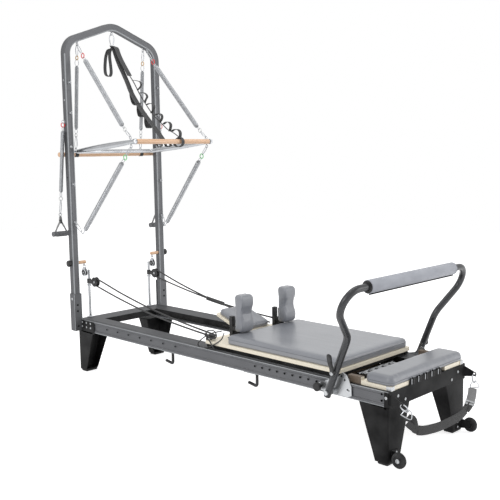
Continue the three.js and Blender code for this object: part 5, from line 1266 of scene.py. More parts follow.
def spring(top, bottom, normal, places, slim=False, knee=None, sag=0):
    """A close-wound spring between two eyes, with snap hooks and coated rings.
    The places are how far from the top the upper ring, the coil's two ends and the lower ring lie."""
    radius = sizes("slim_coil" if slim else "coil")
    wire = sizes("slim_wire" if slim else "wire")
    size = SPRING.slim_ring if slim else SPRING.ring
    ring_at, start, end, low_ring = places
    aim = bottom if knee is None else knee
    way, length = unit(aim - top), np.linalg.norm(aim - top)
    flat = unit(np.cross(normal, way))

    def at(t):
        return top + way * t - Z_AXIS * sag * np.clip(min(t / start, (length - t) / (length - end)), 0, 1)

    def link(middle, reach):
        form.ring(at(middle), flat, max(reach + 4, 6), SPRING.hook, squeeze=0.6, along=way)
    form = Form()
    if ring_at > 40:
        form.snap(top + way * 5, at(ring_at - size + 5), flat, *SPRING.snap)
    form.marked(1).ring(at(ring_at), normal, size, SPRING.wire)
    form.marked(0)
    link((ring_at + size + start) / 2, (start - ring_at - size) / 2)
    if knee is None:
        form.marked(2).ring(at(low_ring), normal, size - 1, SPRING.low_wire)
        form.marked(0)
        gap = (low_ring - size - end) / 2
        link(end + gap, gap)
        form.snap(bottom - way * 5, at(low_ring + size - 6), flat, *SPRING.snap)
    else:
        last = unit(bottom - knee)
        form.tube(route([at(end - 4), knee, knee + last * 26], 9), 3.0, 14)
        form.snap(knee + last * 20, bottom - last * (EYE.radius - 5), np.cross(normal, last), 18, 2.3)
    form.marked(3).coil(at(start), at(end), radius, wire, wire * SPRING.pitch, SPRING.draw_in)
    # Painted shade: a near-black core inside the coil stands in for the shade within it.
    near, far = SPRING.core_in, end - start - SPRING.core_in
    core = [(radius - wire, h) for h in np.linspace(near + 10, far - 10, SPRING.core_rings)]
    form.marked(4).turned([(0, near), *core, (0, far)], at(start), way, 16)
    return form.marked(0)


# The finishes of a spring's marks; the last is the painted shade of its core.
def spring_finishes(mark):
    return f"chrome {mark} pale spring_steel hollow"


class REFORMER_OT_springs(bpy.types.Operator):
    """Add the four springs of the push-through bar"""
    bl_idname = "reformer.springs"
    bl_label = "Tower Springs"

    def execute(self, context):
        at = push_points()
        top = spot(ROLL.front_x, -ROLL.front_y, under_arch(ROLL.front_y) - EYE.stand)
        upper = spring(top, at.top, Y_AXIS, (88, 122, 690, 722), sag=13)
        pair("upper_coil", upper, spring_finishes("strong"), ("base", "push_frame"),
             "upper_spring_", blend=(top, at.top), smooth=60)
        lowest = spot(UPRIGHT.front + EYE.stand, -UPRIGHT.middle, EYE.lowest)
        knee = spot(UPRIGHT.front + 62, (2 * lowest[1] + at.end[1]) / 3, 896)
        lower = spring(at.low, lowest, Y_AXIS, (84, 124, 694, 0), knee=knee)
        pair("lower_coil", lower, spring_finishes("middle"), ("base", "push_frame"),
             "lower_spring_", blend=(knee, at.low), smooth=60)
        return {"FINISHED"}


# Roll-down bar


class REFORMER_OT_roll_down(bpy.types.Operator):
    """Add the roll-down bar with its springs"""
    bl_idname = "reformer.roll_down"
    bl_label = "Roll-down Bar"

    def execute(self, context):
        centre, half, r = spot(ROLL.x, 0, ROLL.z), ROLL.half, ROLL.radius
        bar = Form().turned(both_ways([(0, -half), (r - 3, -half), (r, 3 - half)]), centre, Y_AXIS, 40)
        piece("roll_down_beech", bar, "beech", "roll_bar", replaces="roll_down_bar")
        at = spot(ROLL.x, -ROLL.eye_y, ROLL.z)
        c = ROLL.clamp
        outline = both_ways([(r + 0.2, -13), (c - 1, -13), (c, -12), (c, -8), (c - 0.8, -7)])
        clamp = Form().turned(outline, at, Y_AXIS, 36, closed=True)
        pair("roll_down_clamp", clamp, "plastic", "roll_bar")
        eyes = Form().eyebolt(at + Z_AXIS * (c - 2), Z_AXIS, Y_AXIS)
        pair("roll_down_eye", eyes, "chrome", "roll_bar")
        top = spot(ROLL.top_x, -ROLL.eye_y, under_arch(ROLL.eye_y) - EYE.stand)
        bottom = at + Z_AXIS * (c - 2 + EYE.stand)
        coil = spring(top, bottom, Y_AXIS, (84, 132, 532, 568), slim=True)
        pair("roll_down_coil", coil, spring_finishes("light"), ("base", "roll_bar"),
             "roll_down_spring_", blend=(top, bottom), smooth=60)
        return {"FINISHED"}


class REFORMER_OT_handles(bpy.types.Operator):
    """Add the arm springs with their strap handles"""
    bl_idname = "reformer.handles"
    bl_label = "Arm Springs and Handles"

    def execute(self, context):
        top = spot(UPRIGHT.x, -(UPRIGHT.outer + EYE.stand), ARM.top)
        low = spot(ARM.x, top[1], ARM.low)
        coil = spring(top, low, X_AXIS, (20, 54, 446, 484), slim=True)
        pair("arm_coil", coil, spring_finishes("strong"), ("base", "handle_"), "arm_spring_",
             blend=(top, low), smooth=60)
        neck = low - Z_AXIS * HANDLE.neck
        y, z = low[1], ARM.grip_z
        half = [neck + Y_AXIS * 3, neck - Z_AXIS * 34 + Y_AXIS * 6, spot(low[0], y + HANDLE.wide, z + 2),
                spot(low[0], y + 40, z - 16)]
        other = [spot(p[0], 2 * y - p[1], p[2]) for p in half[::-1]]
        loop = route([*half, *other], [16, 12, 8, 8, 12, 16], 5)
        strap = Form().sweep(loop, slab(17, sizes("sheet") * 1.4, 1.0), across=X_AXIS)
        strap.marked(1).sweep([neck - Z_AXIS * 20, neck - Z_AXIS * 44], slab(20, 14, 3), across=X_AXIS)
        pair("handle_strap", strap, "panel webbing", "handle_", "strap_handle_")
        long, r = HANDLE.half, HANDLE.radius
        outline = both_ways([(4, -long), (r - 2, -long), (r, 2 - long), (r, 9 - long), (r - 1, 11 - long)])
        grip = Form().turned(outline, spot(low[0], y, z), Y_AXIS, 32, closed=True)
        pair("handle_grip", grip, "grip", "handle_")
        ring = Form().ring(low, X_AXIS, EYE.radius, EYE.wire)
        pair("handle_ring", ring, "chrome", "handle_")
        return {"FINISHED"}


# Pegs and swivel pulleys


class REFORMER_OT_pegs(bpy.types.Operator):
    """Add the beech pegs with their knobs and swivel pulleys"""
    bl_idname = "reformer.pegs"
    bl_label = "Pegs"

    def execute(self, context):
        x, z, r = UPRIGHT.x, PEG.z, PEG.radius
        long = UPRIGHT.inner - PEG.tip - GAP
        outline = [(0, 0), (r, 0), (r, long * 0.86), (r * 0.94, long * 0.93), (r * 0.7, long * 0.98),
                   (0, long)]
        peg = Form().turned(outline, spot(x, -UPRIGHT.inner + GAP, z), Y_AXIS, 32)
        pair("beech_peg", peg, "beech", "peg_", "peg_knob_")
        knob = Form().turned([(0, GAP), (12, GAP), (13, 4), (19, 8), (21, 12), (21, 20), (19.5, 24),
                              (15, 26), (0, 26.3)], spot(x, -UPRIGHT.outer, z), -Y_AXIS, 40)
        pair("peg_knob_head", knob, "plastic", "peg_")
        eye = spot(x, -PEG.tip - r - SWIVEL.eye_wire, z - r - 5)
        ring = Form().ring(eye, Y_AXIS, SWIVEL.eye, SWIVEL.eye_wire)
        pair("peg_eye", ring, "chrome", "peg_")
        self.swivel(eye)
        return {"FINISHED"}

    def swivel(self, eye):
        """The small pulley that hangs from the peg's eye."""
        x, y, _ = eye
        bow = eye - Z_AXIS * 11.6
        metal_bow = Form().ring(bow, X_AXIS, SWIVEL.bow, SWIVEL.eye_wire)
        pair("swivel_bow", metal_bow, "chrome", "swivel_")
        top = bow[2] - 7.9
        hub = spot(x, y, top - 32.5)
        block = Form()
        arc = [(x + 23 * math.cos(a), hub[2] + 25 * math.sin(a))
               for a in np.linspace(0.8 * math.pi, 2.2 * math.pi, 25)]
        for low, high in ((-SWIVEL.cheek_out, -SWIVEL.cheek_in), (SWIVEL.cheek_in, SWIVEL.cheek_out)):
            block.plate([*arc, (x + 6, top), (x - 6, top)], "y", y + low, y + high)
        block.box(x - 5, x + 5, y - 6, y + 6, top - 6, top)
        pair("swivel_cheeks", block, "chrome", "swivel_", "swivel_pulley_", bevel=0.8)
        r, h = SWIVEL.sheave, SWIVEL.half
        sheave = Form().turned(both_ways([(0, -h), (r, -h), (r + 1.5, -8.4)]), hub, Y_AXIS, 36)
        sheave.marked(1).turned(both_ways([(0, 11), (4, 11), (4.6, 10)]), hub, Y_AXIS, 20)
        pair("swivel_sheave", sheave, "plastic stainless", "swivel_")


# Rope pulleys


class REFORMER_OT_rope_pulleys(bpy.types.Operator):
    """Add the risers with the rope pulleys"""
    bl_idname = "reformer.rope_pulleys"
    bl_label = "Rope Pulleys"

    def execute(self, context):
        x, y, low = RISER.x, -RISER.y, RISER.base
        z, cx, r, long = SHEAVE.z, SHEAVE.x, RISER.radius, RISER.top - low
        riser = Form().turned([(0, 0), (21, 0), (22, 1), (22, 4), (20, 5), (10.5, 5.4), (9.5, 8), (r, 9),
                               (r, long - 1.5), (r - 1.5, long), (0, long)], spot(x, y, low), Z_AXIS, 36)
        riser.turned([(r, -12), (12, -12), (13, -11), (13, -1), (12, 0), (r, 0)], spot(x, y, z - 20 - GAP),
                     Z_AXIS, 32)
        pair("riser_post", riser, "chrome", "base", "riser_")
        form = Form()
        inner, outer = SHEAVE.cheek_in, SHEAVE.cheek_out
        arc = arc_of((cx, z), SHEAVE.cheek, -0.42 * TURN, 0.42 * TURN, 41)
        for a, b in ((-outer, -inner), (inner, outer)):
            form.plate([(x + 9, z - 9), *arc, (x + 9, z + 9)], "y", y + a, y + b)
        collar = both_ways([(8.6, -15), (12, -15), (13, -14)])
        form.turned(collar, spot(x, y, z), Z_AXIS, 32, closed=True)
        form.box(x + 10, x + 30, y - 9, y + 9, z - 9, z + 9)
        pair("pulley_cheeks", form, "plastic", "pulley_", "pulley_housing_", bevel=1.0)
        near, far = spot(cx, y - outer, z), spot(cx, y + outer, z)
        bolt = Form().bolt(near, -Y_AXIS, 6, 3).bolt(far, Y_AXIS, 6, 3).rod(near, far, 4)
        pair("pulley_bolt", bolt, "stainless", "pulley_")
        g, r, h = SHEAVE.groove, SHEAVE.radius, SHEAVE.half
        groove = [(g + SHEAVE.rope * (1 - math.cos(t)), SHEAVE.rope * math.sin(t))
                  for t in np.linspace(-TURN / 4, TURN / 4, 9)]
        outline = both_ways([(4.4, -h), (r - 1, -h), (r, 1 - h), (r - 0.6, 2 - h)], groove)
        wheel = Form().turned(outline, spot(cx, y, z), Y_AXIS, 44, closed=True)
        pair("rope_wheel", wheel, "plastic", "sheave_", "rope_sheave_")
        return {"FINISHED"}


# Carriage


class REFORMER_OT_carriage(bpy.types.Operator):
    """Finish the carriage's frame and board, and add its wheels"""
    bl_idname = "reformer.carriage"
    bl_label = "Carriage"

    def execute(self, context):
        dress("carriage_frame", "coat", 1.0)
        dress("carriage_board", "ply", 1.5)
        self.wheels("wheels_head", CARRIAGE_WHEEL.head)
        self.wheels("wheels_foot", CARRIAGE_WHEEL.foot)
        studs = Form()
        studs.turned([(5, -1), (5, 20), (8, 21), (9, 22), (9, 25), (8, 26), (0, 26.4)],
                     spot(ROPE.stud_x, -ROPE.stud_y, BOARD.top), Z_AXIS, 24)
        pair("rope_stud", studs, "plastic", "carriage")
        y, low = -POST.y, BOARD.top
        post = Form().box(1266, 1290, y - 12, y + 12, low + 0.2, POST.top)
        post.box(1258, 1352, y - 20, y + 20, low + 0.1, low + 6)
        post.box(1289, 1342, y - 10, y + 10, 430, 452)
        pair("rest_post", post, "plastic", "carriage", bevel=2.5)
        return {"FINISHED"}

    def wheels(self, body, x):
        """Two rolling wheels on their axle."""
        form, half, z = Form(), CARRIAGE_WHEEL.y, CARRIAGE_WHEEL.z
        tyre = [(6, 0), (26, 0), (28, 2), (28, 16), (26, 18), (20, 18), (20, 16), (11, 16), (11, 18),
                (6, 18)]
        hub = [(0, -1), (6, -1), (6, 18.5), (9, 18.5), (9, 21), (7.5, 22.5), (0, 22.5)]
        for way in (-1, 1):
            inner = spot(x, way * half, z)
            form.marked(0).turned(tyre, inner, Y_AXIS * way, 40, closed=True)
            form.marked(1).turned(hub, inner, Y_AXIS * way, 20)
        form.rod(spot(x, -half - 1, z), spot(x, half + 1, z), 6, 20)
        node = "carriage_" + body
        piece(node + "_tyres", form, "rubber stainless", body, replaces=node)


# Pads


def cushion_form(x0, x1, half, z0, height, corner, round_off=12):
    """A rounded block with a soft upper edge."""
    form, rings = Form(), []
    drops = round_off * (1 - np.cos(np.linspace(TURN / 4, 0, 9)))
    levels = [(0, 4), (3, 1), (7, 0), *[(height - d, round_off - math.sqrt(max(
        round_off ** 2 - (round_off - d) ** 2, 0))) for d in drops]]
    for rise, inset in levels:
        flat = slab(x1 - x0 - 2 * inset, 2 * (half - inset), max(corner - inset, 3), 8)
        rings.append(np.column_stack([flat + ((x0 + x1) / 2, 0), np.full(len(flat), z0 + rise)]))
    return form.loft(rings)


def welt(name, made, z, body):
    """A sewn welt that follows a cushion's side at one height."""
    tree = BVHTree.FromObject(made, bpy.context.evaluated_depsgraph_get())
    box = np.array([v.co for v in made.data.vertices])
    low, high = box.min(0), box.max(0)
    middle, half = (low + high) / 2, (high - low) / 2
    line = []
    for u, v in slab(2 * half[0] + 0.06, 2 * half[1] + 0.06, half[1] * 0.4, 14):
        start = Vector((middle[0] + u, middle[1] + v, z * MM))
        if abs(v) < half[1] * 0.6:
            inward = Vector((-u, 0, 0))
        elif abs(u) > half[0]:
            inward = Vector((-u, -v * half[0] / half[1] * 0.6, 0))
        else:
            inward = Vector((math.copysign(max(abs(u) - half[0] * 0.6, 0), -u), -v, 0))
        hit = tree.ray_cast(start, inward.normalized())[0]
        if hit is not None:
            line.append(np.array(hit) / MM - (HEAD / MM, 0, 0))
    line = evenly(np.vstack([line, line[:1]]), 240)[:-1]
    cord = Form().tube(line, sizes("piping"), 8, closed=True)
    return piece(name, cord, "piping", body, smooth=60)


def upholster(name, form, body, node, voxel=6, turned=None):
    """A cushion swollen by its filling. Its cover may move no further than the setting."""
    made = meshed(name, form, [finish("vinyl")], smooth=75)
    if turned is not None:
        made.data.transform(turned)
    made.data.remesh_voxel_size = voxel * MM
    bpy.context.view_layer.objects.active = made
    made.select_set(True)
    bpy.ops.object.voxel_remesh()
    made.select_set(False)
    swell(made)
    made.data.materials.clear()
    made.data.materials.append(finish("vinyl"))
    soft = made.modifiers.new("smooth", "SUBSURF")
    soft.levels = soft.render_levels = 1
    made.data.polygons.foreach_set("use_smooth", [True] * len(made.data.polygons))
    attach(made, body)
    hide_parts(node)
    return made


def swell(made):
    """Blow the cover up for a short while, cap the movement and keep the result."""
    rest = np.empty(len(made.data.vertices) * 3)
    made.data.vertices.foreach_get("co", rest)
    cloth = made.modifiers.new("filling", "CLOTH").settings
    cloth.use_pressure, cloth.uniform_pressure_force = True, FILLING.pressure
    cloth.effector_weights.gravity = 0
    scene = bpy.context.scene
    for step in range(1, FILLING.steps + 1):
        scene.frame_set(step)
    shown = made.evaluated_get(bpy.context.evaluated_depsgraph_get())
    blown = np.empty_like(rest)
    shown.data.vertices.foreach_get("co", blown)
    made.modifiers.clear()
    scene.frame_set(1)
    move = (blown - rest).reshape(-1, 3)
    far = np.linalg.norm(move, axis=1, keepdims=True)
    move *= np.minimum(1, sizes("swell") * MM / np.maximum(far, 1e-9))
    made.data.vertices.foreach_set("co", (rest.reshape(-1, 3) + move).ravel())
    made.data.update()


class REFORMER_OT_pads(bpy.types.Operator):
    """Add the carriage's pad, the shoulder rests, the headrest and the foot platform's pad"""
    bl_idname = "reformer.pads"
    bl_label = "Pads"

    def execute(self, context):
        gap = sizes("swell") * 0.7
        z = BOARD.top + GAP
        body = cushion_form(PAD.head + gap, PAD.foot - gap, PAD.half - gap, z, PAD.height - gap * 0.5,
                            PAD.corner, PAD.round)
        made = upholster("carriage_cushion", body, "carriage", "carriage_pad")
        welt("carriage_cushion_welt", made, z + PAD.height * 0.58, "carriage")
        self.rests()
        self.headrest()
        z = PLATFORM.top
        body = cushion_form(PLATFORM.pad_head + gap, PLATFORM.pad_foot - gap, PLATFORM.pad_half - gap, z,
                            PLATFORM.pad - gap * 0.5, PLATFORM.pad_corner, PLATFORM.round)
        made = upholster("platform_cushion", body, "base", "platform_pad")
        welt("platform_cushion_welt", made, z + PLATFORM.pad * 0.34, "base")
        return {"FINISHED"}

    def rests(self):
        """The two shoulder rests: a waisted outline, rounded at both faces."""
        outline = [(0, 0.05), (0.1, 0), (0.4, 0), (0.72, 0), (0.92, 0.04), (1, 0.13), (0.98, 0.24),
                   (0.86, 0.37), (0.78, 0.5), (0.84, 0.62), (0.96, 0.74), (1, 0.85), (0.94, 0.96),
                   (0.76, 1), (0.4, 1), (0.12, 1), (0, 0.95)]
        middle = (REST.back + REST.depth / 2, REST.bottom + REST.height / 2)
        flat = curve([(REST.back + u * REST.depth, 0, REST.bottom + v * REST.height)
                      for u, v in outline], 64)
        rounding = ((0, 0.80), (0.02, 0.88), (0.06, 0.94), (0.14, 0.98), (0.3, 0.99), (0.5, 0.99),
                    (0.7, 0.99), (0.86, 0.98), (0.94, 0.94), (0.98, 0.88), (1, 0.80))
        for side, way in SIDES.items():
            rings = []
            for share, size in rounding:
                ring = flat.copy()
                ring[:, 0] = middle[0] + size * (ring[:, 0] - middle[0])
                ring[:, 2] = middle[1] + (0.03 + 0.97 * size) * (ring[:, 2] - middle[1])
                ring[:, 1] = way * POST.y + (REST.half - 2) * (2 * share - 1)
                rings.append(ring)
            form = Form().loft(rings)
            upholster(f"shoulder_cushion_{side}", form, "carriage", f"shoulder_rest_{side}", 4)

    def headrest(self):
        """The headrest's pad, made flat and turned to its tilt."""
        tilt = (Matrix.Translation(Vector(in_row(spot(HEADREST.hinge, 0, HEADREST.z))))
                @ Matrix.Rotation(math.radians(HEADREST.tilt), 4, "Y"))
        home = Matrix.Translation((-HEAD, 0, 0))
        dress("headrest_board", "ply", 1.2)
        gap = sizes("swell") * 0.6
        low = HEADREST.board_top + GAP
        form = cushion_form(-HEADREST.length + 4 + gap, -4 - gap, HEADREST.half - 4 - gap, low,
                            HEADREST.pad - gap * 0.5, HEADREST.pad)
        upholster("headrest_cushion", form, "headrest", "headrest_pad", 4, turned=tilt @ home)


# Foot platform and springs


class REFORMER_OT_platform(bpy.types.Operator):
    """Finish the foot platform and add the spring bar and the carriage's springs"""
    bl_idname = "reformer.platform"
    bl_label = "Foot Platform"

    def execute(self, context):
        dress("platform_board", "ply", 1.2)
        bar = Form().rod(spot(SPRING_BAR.x, -SPRING_BAR.half, SPRING_BAR.z),
                         spot(SPRING_BAR.x, SPRING_BAR.half, SPRING_BAR.z), SPRING_BAR.radius, 24)
        for way in (-1, 1):
            low, high = sorted((way * SPRING_BAR.half, way * (SPRING_BAR.half - 5)))
            bar.box(2387, 2427, low, high, 314, 339)
        piece("spring_rail", bar, "coat", "base", bevel=0.5, replaces="spring_bar")
        self.hooks()
        x, z, wire = SPRING_BAR.x, SPRING_BAR.z, SPRING_BAR.hook
        around = SPRING_BAR.radius + wire + 2 * GAP
        anchor, last = 2122, 2374
        coils = Form()
        for k in (-2, -1, 0, 1, 2):
            y = k * SPRING_BAR.pitch
            coils.coil(spot(anchor + 6, y, z), spot(last, y, z), SPRING_BAR.coil, SPRING_BAR.wire, 4.0, 12)
            hook = [spot(last - 8, y, z), spot(last + 8, y, z)]
            hook += [spot(u, y, v) for u, v in arc_of((x, z), around, math.pi, -0.6, 15)]
            coils.tube(hook, wire, 12)
        coils.rod(spot(anchor, -142, z), spot(anchor, 142, z), 8)
        piece("spring_set", coils, "spring_steel", ("base", "carriage"), replaces="carriage_springs",
              blend=(spot(last - 4, 0, z), spot(anchor + 8, 0, z)), smooth=60)
        return {"FINISHED"}

    def hooks(self):
        """The notched hooks that hold the springs, and the metal corners of the board."""
        form, x = Form(), RAIL.length + 5.6
        for k in range(5):
            y = -150 + 56 * k
            outline = [(x - 34, 344), (x - 34, 366), (x - 18, 374), (x + 2, 374), (x + 6, 370), (x + 6, 342),
                       (x - 2, 342), (x - 2, 360), (x - 12, 360), (x - 12, 344)]
            for shift in (-9, 9):
                form.marked(0).plate(outline, "y", y + shift - 2.5, y + shift + 2.5)
            form.marked(1).rod(spot(x + 6, y - 9, 346), spot(x + 6, y - 9, 371), 1.7, 12)
            form.rod(spot(x - 20, y - 14, 369), spot(x - 20, y + 14, 369), 4, 16)
        # Painted shade: a near-black sheet behind the hooks, where the crossbeam lies in shade.
        form.marked(2).box(x - 2, x + 3, -166, 100, 342, 367)
        piece("spring_hooks", form, "plastic chrome hollow", "base", bevel=0.5)
        # Painted shade: the platform's runners take the dark taupe that stands in for their shade.
        runner = Form().box(RUNNER.head, RUNNER.foot, -RUNNER.outer, -RUNNER.inner, RUNNER.low, RUNNER.top)
        pair("platform_runner", runner, "runner", "base", bevel=1.5)
        foot, outer, long, sheet = RAIL.length + 3.4, -CORNER.half, CORNER.long, CORNER.sheet
        outline = [(foot, outer), (foot, outer + long), (foot - sheet, outer + long),
                   (foot - sheet, outer + sheet), (foot - long, outer + sheet), (foot - long, outer)]
        caps = Form().plate(outline, "z", PLATFORM.low + GAP, PLATFORM.top + 0.2)
        pair("board_corner", caps, "stainless", "base", bevel=0.6)


# Footbar


def in_lean(along, y):
    """A place on the footbar's leaning plane."""
    way = spot(math.cos(math.radians(FOOTBAR.lean)), 0, math.sin(math.radians(FOOTBAR.lean)))
    return spot(FOOTBAR.x, y, FOOTBAR.z) + way * along


class REFORMER_OT_footbar(bpy.types.Operator):
    """Add the footbar with its roller, brackets, levers and knob"""
    bl_idname = "reformer.footbar"
    bl_label = "Footbar"

    def execute(self, context):
        half = [in_lean(-FOOTBAR.tail, -FOOTBAR.base), in_lean(FOOTBAR.knee, -FOOTBAR.base),
                in_lean(FOOTBAR.axis, -FOOTBAR.shoulder)]
        line = route([*half, *[p * FLIP for p in half[::-1]]],
                     [FOOTBAR.bend, FOOTBAR.round, FOOTBAR.round, FOOTBAR.bend], 12)
        tube = Form().tube(line, FOOTBAR.tube, 32)
        piece("footbar_bow", tube, "lacquer", "footbar", replaces="footbar_tube")
        foot, down = in_lean(-FOOTBAR.tail, -FOOTBAR.base), in_lean(-1, 0) - in_lean(0, 0)
        ends = Form().turned([(0, 0), (16.6, 0), (17, 1), (17, 2), (14, 4), (0, 4.5)], foot, down, 28)
        cap = in_lean(FOOTBAR.axis, -FOOTBAR.foam_half - GAP)
        disc = [(17.2, 0), (27, 0), (28, 1), (28, 5), (26, 7), (17.2, 7)]
        ends.turned(disc, cap, -Y_AXIS, 40, closed=True)
        ends.sweep([cap + (6, 1, -31), cap * FLIP + (6, 0, -31)], slab(2.2, 11, 1), across=X_AXIS)
        ends.marked(1).ring(cap - Y_AXIS * 0.6, Y_AXIS, 29, 2.0, 40)
        pair("footbar_caps", ends, "plastic foam", "footbar")
        f, r = FOOTBAR.foam_half, FOOTBAR.foam
        outline = both_ways([(17.5, -f), (r - 5, -f), (r - 1.5, 1.5 - f), (r, 5 - f)])
        roller = Form().turned(outline, in_lean(FOOTBAR.axis, 0), Y_AXIS, 48, closed=True)
        piece("roller_foam", roller, "foam", "footbar", replaces="footbar_roller",
              smooth=50)
        for side in SIDES:
            dress(f"footbar_bracket_{side}", "stainless", 0.8)
        self.levers()
        # Painted shade: near-black discs for the shade in the brackets' holes.
        marks = Form()
        for x, z in BRACKET.holes:
            drilled(marks, x, z, 4.6, -BRACKET.face)
        pair("bracket_holes", marks, "hollow", "base")
        return {"FINISHED"}

    def levers(self):
        """The two locking levers and the pull knob."""
        outer = FOOTBAR.base + FOOTBAR.tube + GAP
        end = -outer - 14
        x, _, z = in_lean(FOOTBAR.lever, 0)
        hub = spot(x, -outer, z)
        handle = Form().turned([(8, 0), (14, 0), (14, 12), (12, 14), (0, 14)], hub, -Y_AXIS, 28)
        line = curve([spot(x, end + 4, z), spot(x + 2, end - 2, z + 22), spot(x + 4, end - 16, z + 56),
                      spot(x + 10, end - 30, z + 97)], 24)
        widths = np.interp(np.linspace(0, 1, 24), [0, 0.2, 0.6, 0.9, 0.97, 1], [0.8, 0.86, 1, 1, 0.8, 0.4])
        handle.sweep(line, slab(26, 12, 5.5, 5), across=X_AXIS, scale=widths)
        pair("lever_grip", handle, "plastic", "lever_", "footbar_lever_")
        pin = Form().rod(hub + Y_AXIS * 34, hub, 6)
        pin.bolt(spot(x, end - 0.4, z), -Y_AXIS, 8, 4)
        pair("lever_pin", pin, "stainless", "lever_")
        knob_x, knob_z = BRACKET.knob
        knob = Form().turned([(0, -6), (5, -6), (5, 0), (9, 0), (9, 12), (12, 14), (21, 16.5), (21, 31),
                              (18, 34), (0, 34.5)], spot(knob_x, -BRACKET.face - 0.1, knob_z), -Y_AXIS, 12)
        piece("pull_knob", knob, "plastic", "knob", bevel=1.2, replaces="bracket_knob")


# Straps


class REFORMER_OT_foot_strap(bpy.types.Operator):
    """Add the padded foot strap"""
    bl_idname = "reformer.foot_strap"
    bl_label = "Foot Strap"

    def execute(self, context):
        eye = spot(EYE_TAB.x, -EYE_TAB.y, EYE_TAB.z)
        snap = eye - Z_AXIS * 14.4
        end = snap + (0, 10, -35)
        shares = [(0, -1, 0), (0.3, -0.93, 0.42), (0.68, -0.78, 0.78), (0.9, -0.42, 0.97), (1, 0, 1),
                  (0.9, 0.4, 0.94), (0.68, 0.68, 0.7), (0.3, 0.88, 0.36), (0, 1, 0)]
        line = curve([spot(end[0] + a * 53, -b * end[1], end[2] - c * 100) for a, b, c in shares], 80)
        form = Form().sweep(line[5:-14], slab(30, 3.4, 1.5), across=Z_AXIS)
        form.sweep(line[13:-20], slab(44, 10, 4.5), across=Z_AXIS)
        level, view = spot(0.73, 0.68, 0), spot(-0.68, 0.73, 0)
        near = curve([(2503, -290, 238), (2508, -258, 222), line[11], line[16]], 16)
        form.sweep(near, slab(38, 5, 2.2), across=np.cross(view, unit(near[-1] - near[0])))
        far = curve([(2503, 276, 240), (2508, 262, 214), line[-17], line[-22]], 18)
        form.sweep(far, slab(40, 3, 1.3), across=level)
        form.marked(1).sweep(far[:11] + view * -3, slab(42, 2.4, 1.1), across=level)
        for k in (8, 10):
            form.marked(2).sweep(far[k:k + 2] + view * -5, slab(47, 4, 1.8), across=level)
        piece("padded_strap", form, "padding panel stainless", "strap", replaces="foot_strap")
        hooks = Form()
        for way, slant in ((-1, 0.5), (1, 0.1)):
            side = spot(level[0], level[1], -slant if way < 0 else slant)
            centre = spot(2504, way * 292, 254)
            up = np.cross(side, view) * (1 if np.cross(side, view)[2] > 0 else -1)
            shape = [centre + side * u + up * v for u, v in (
                (-22, -13), (0, -15), (22, -13), (19, 2), (9, 15), (-7, 16), (-17, 4), (-22, -13))]
            hooks.sweep(curve(shape, 48)[:-1], circle(2.8, 10), closed=True)
            hooks.snap((eye + Z_AXIS * -3) * (1, -way, 1), centre + up * 10, view, 19, 2.8)
        piece("strap_hooks", hooks, "chrome", "strap")
        return {"FINISHED"}


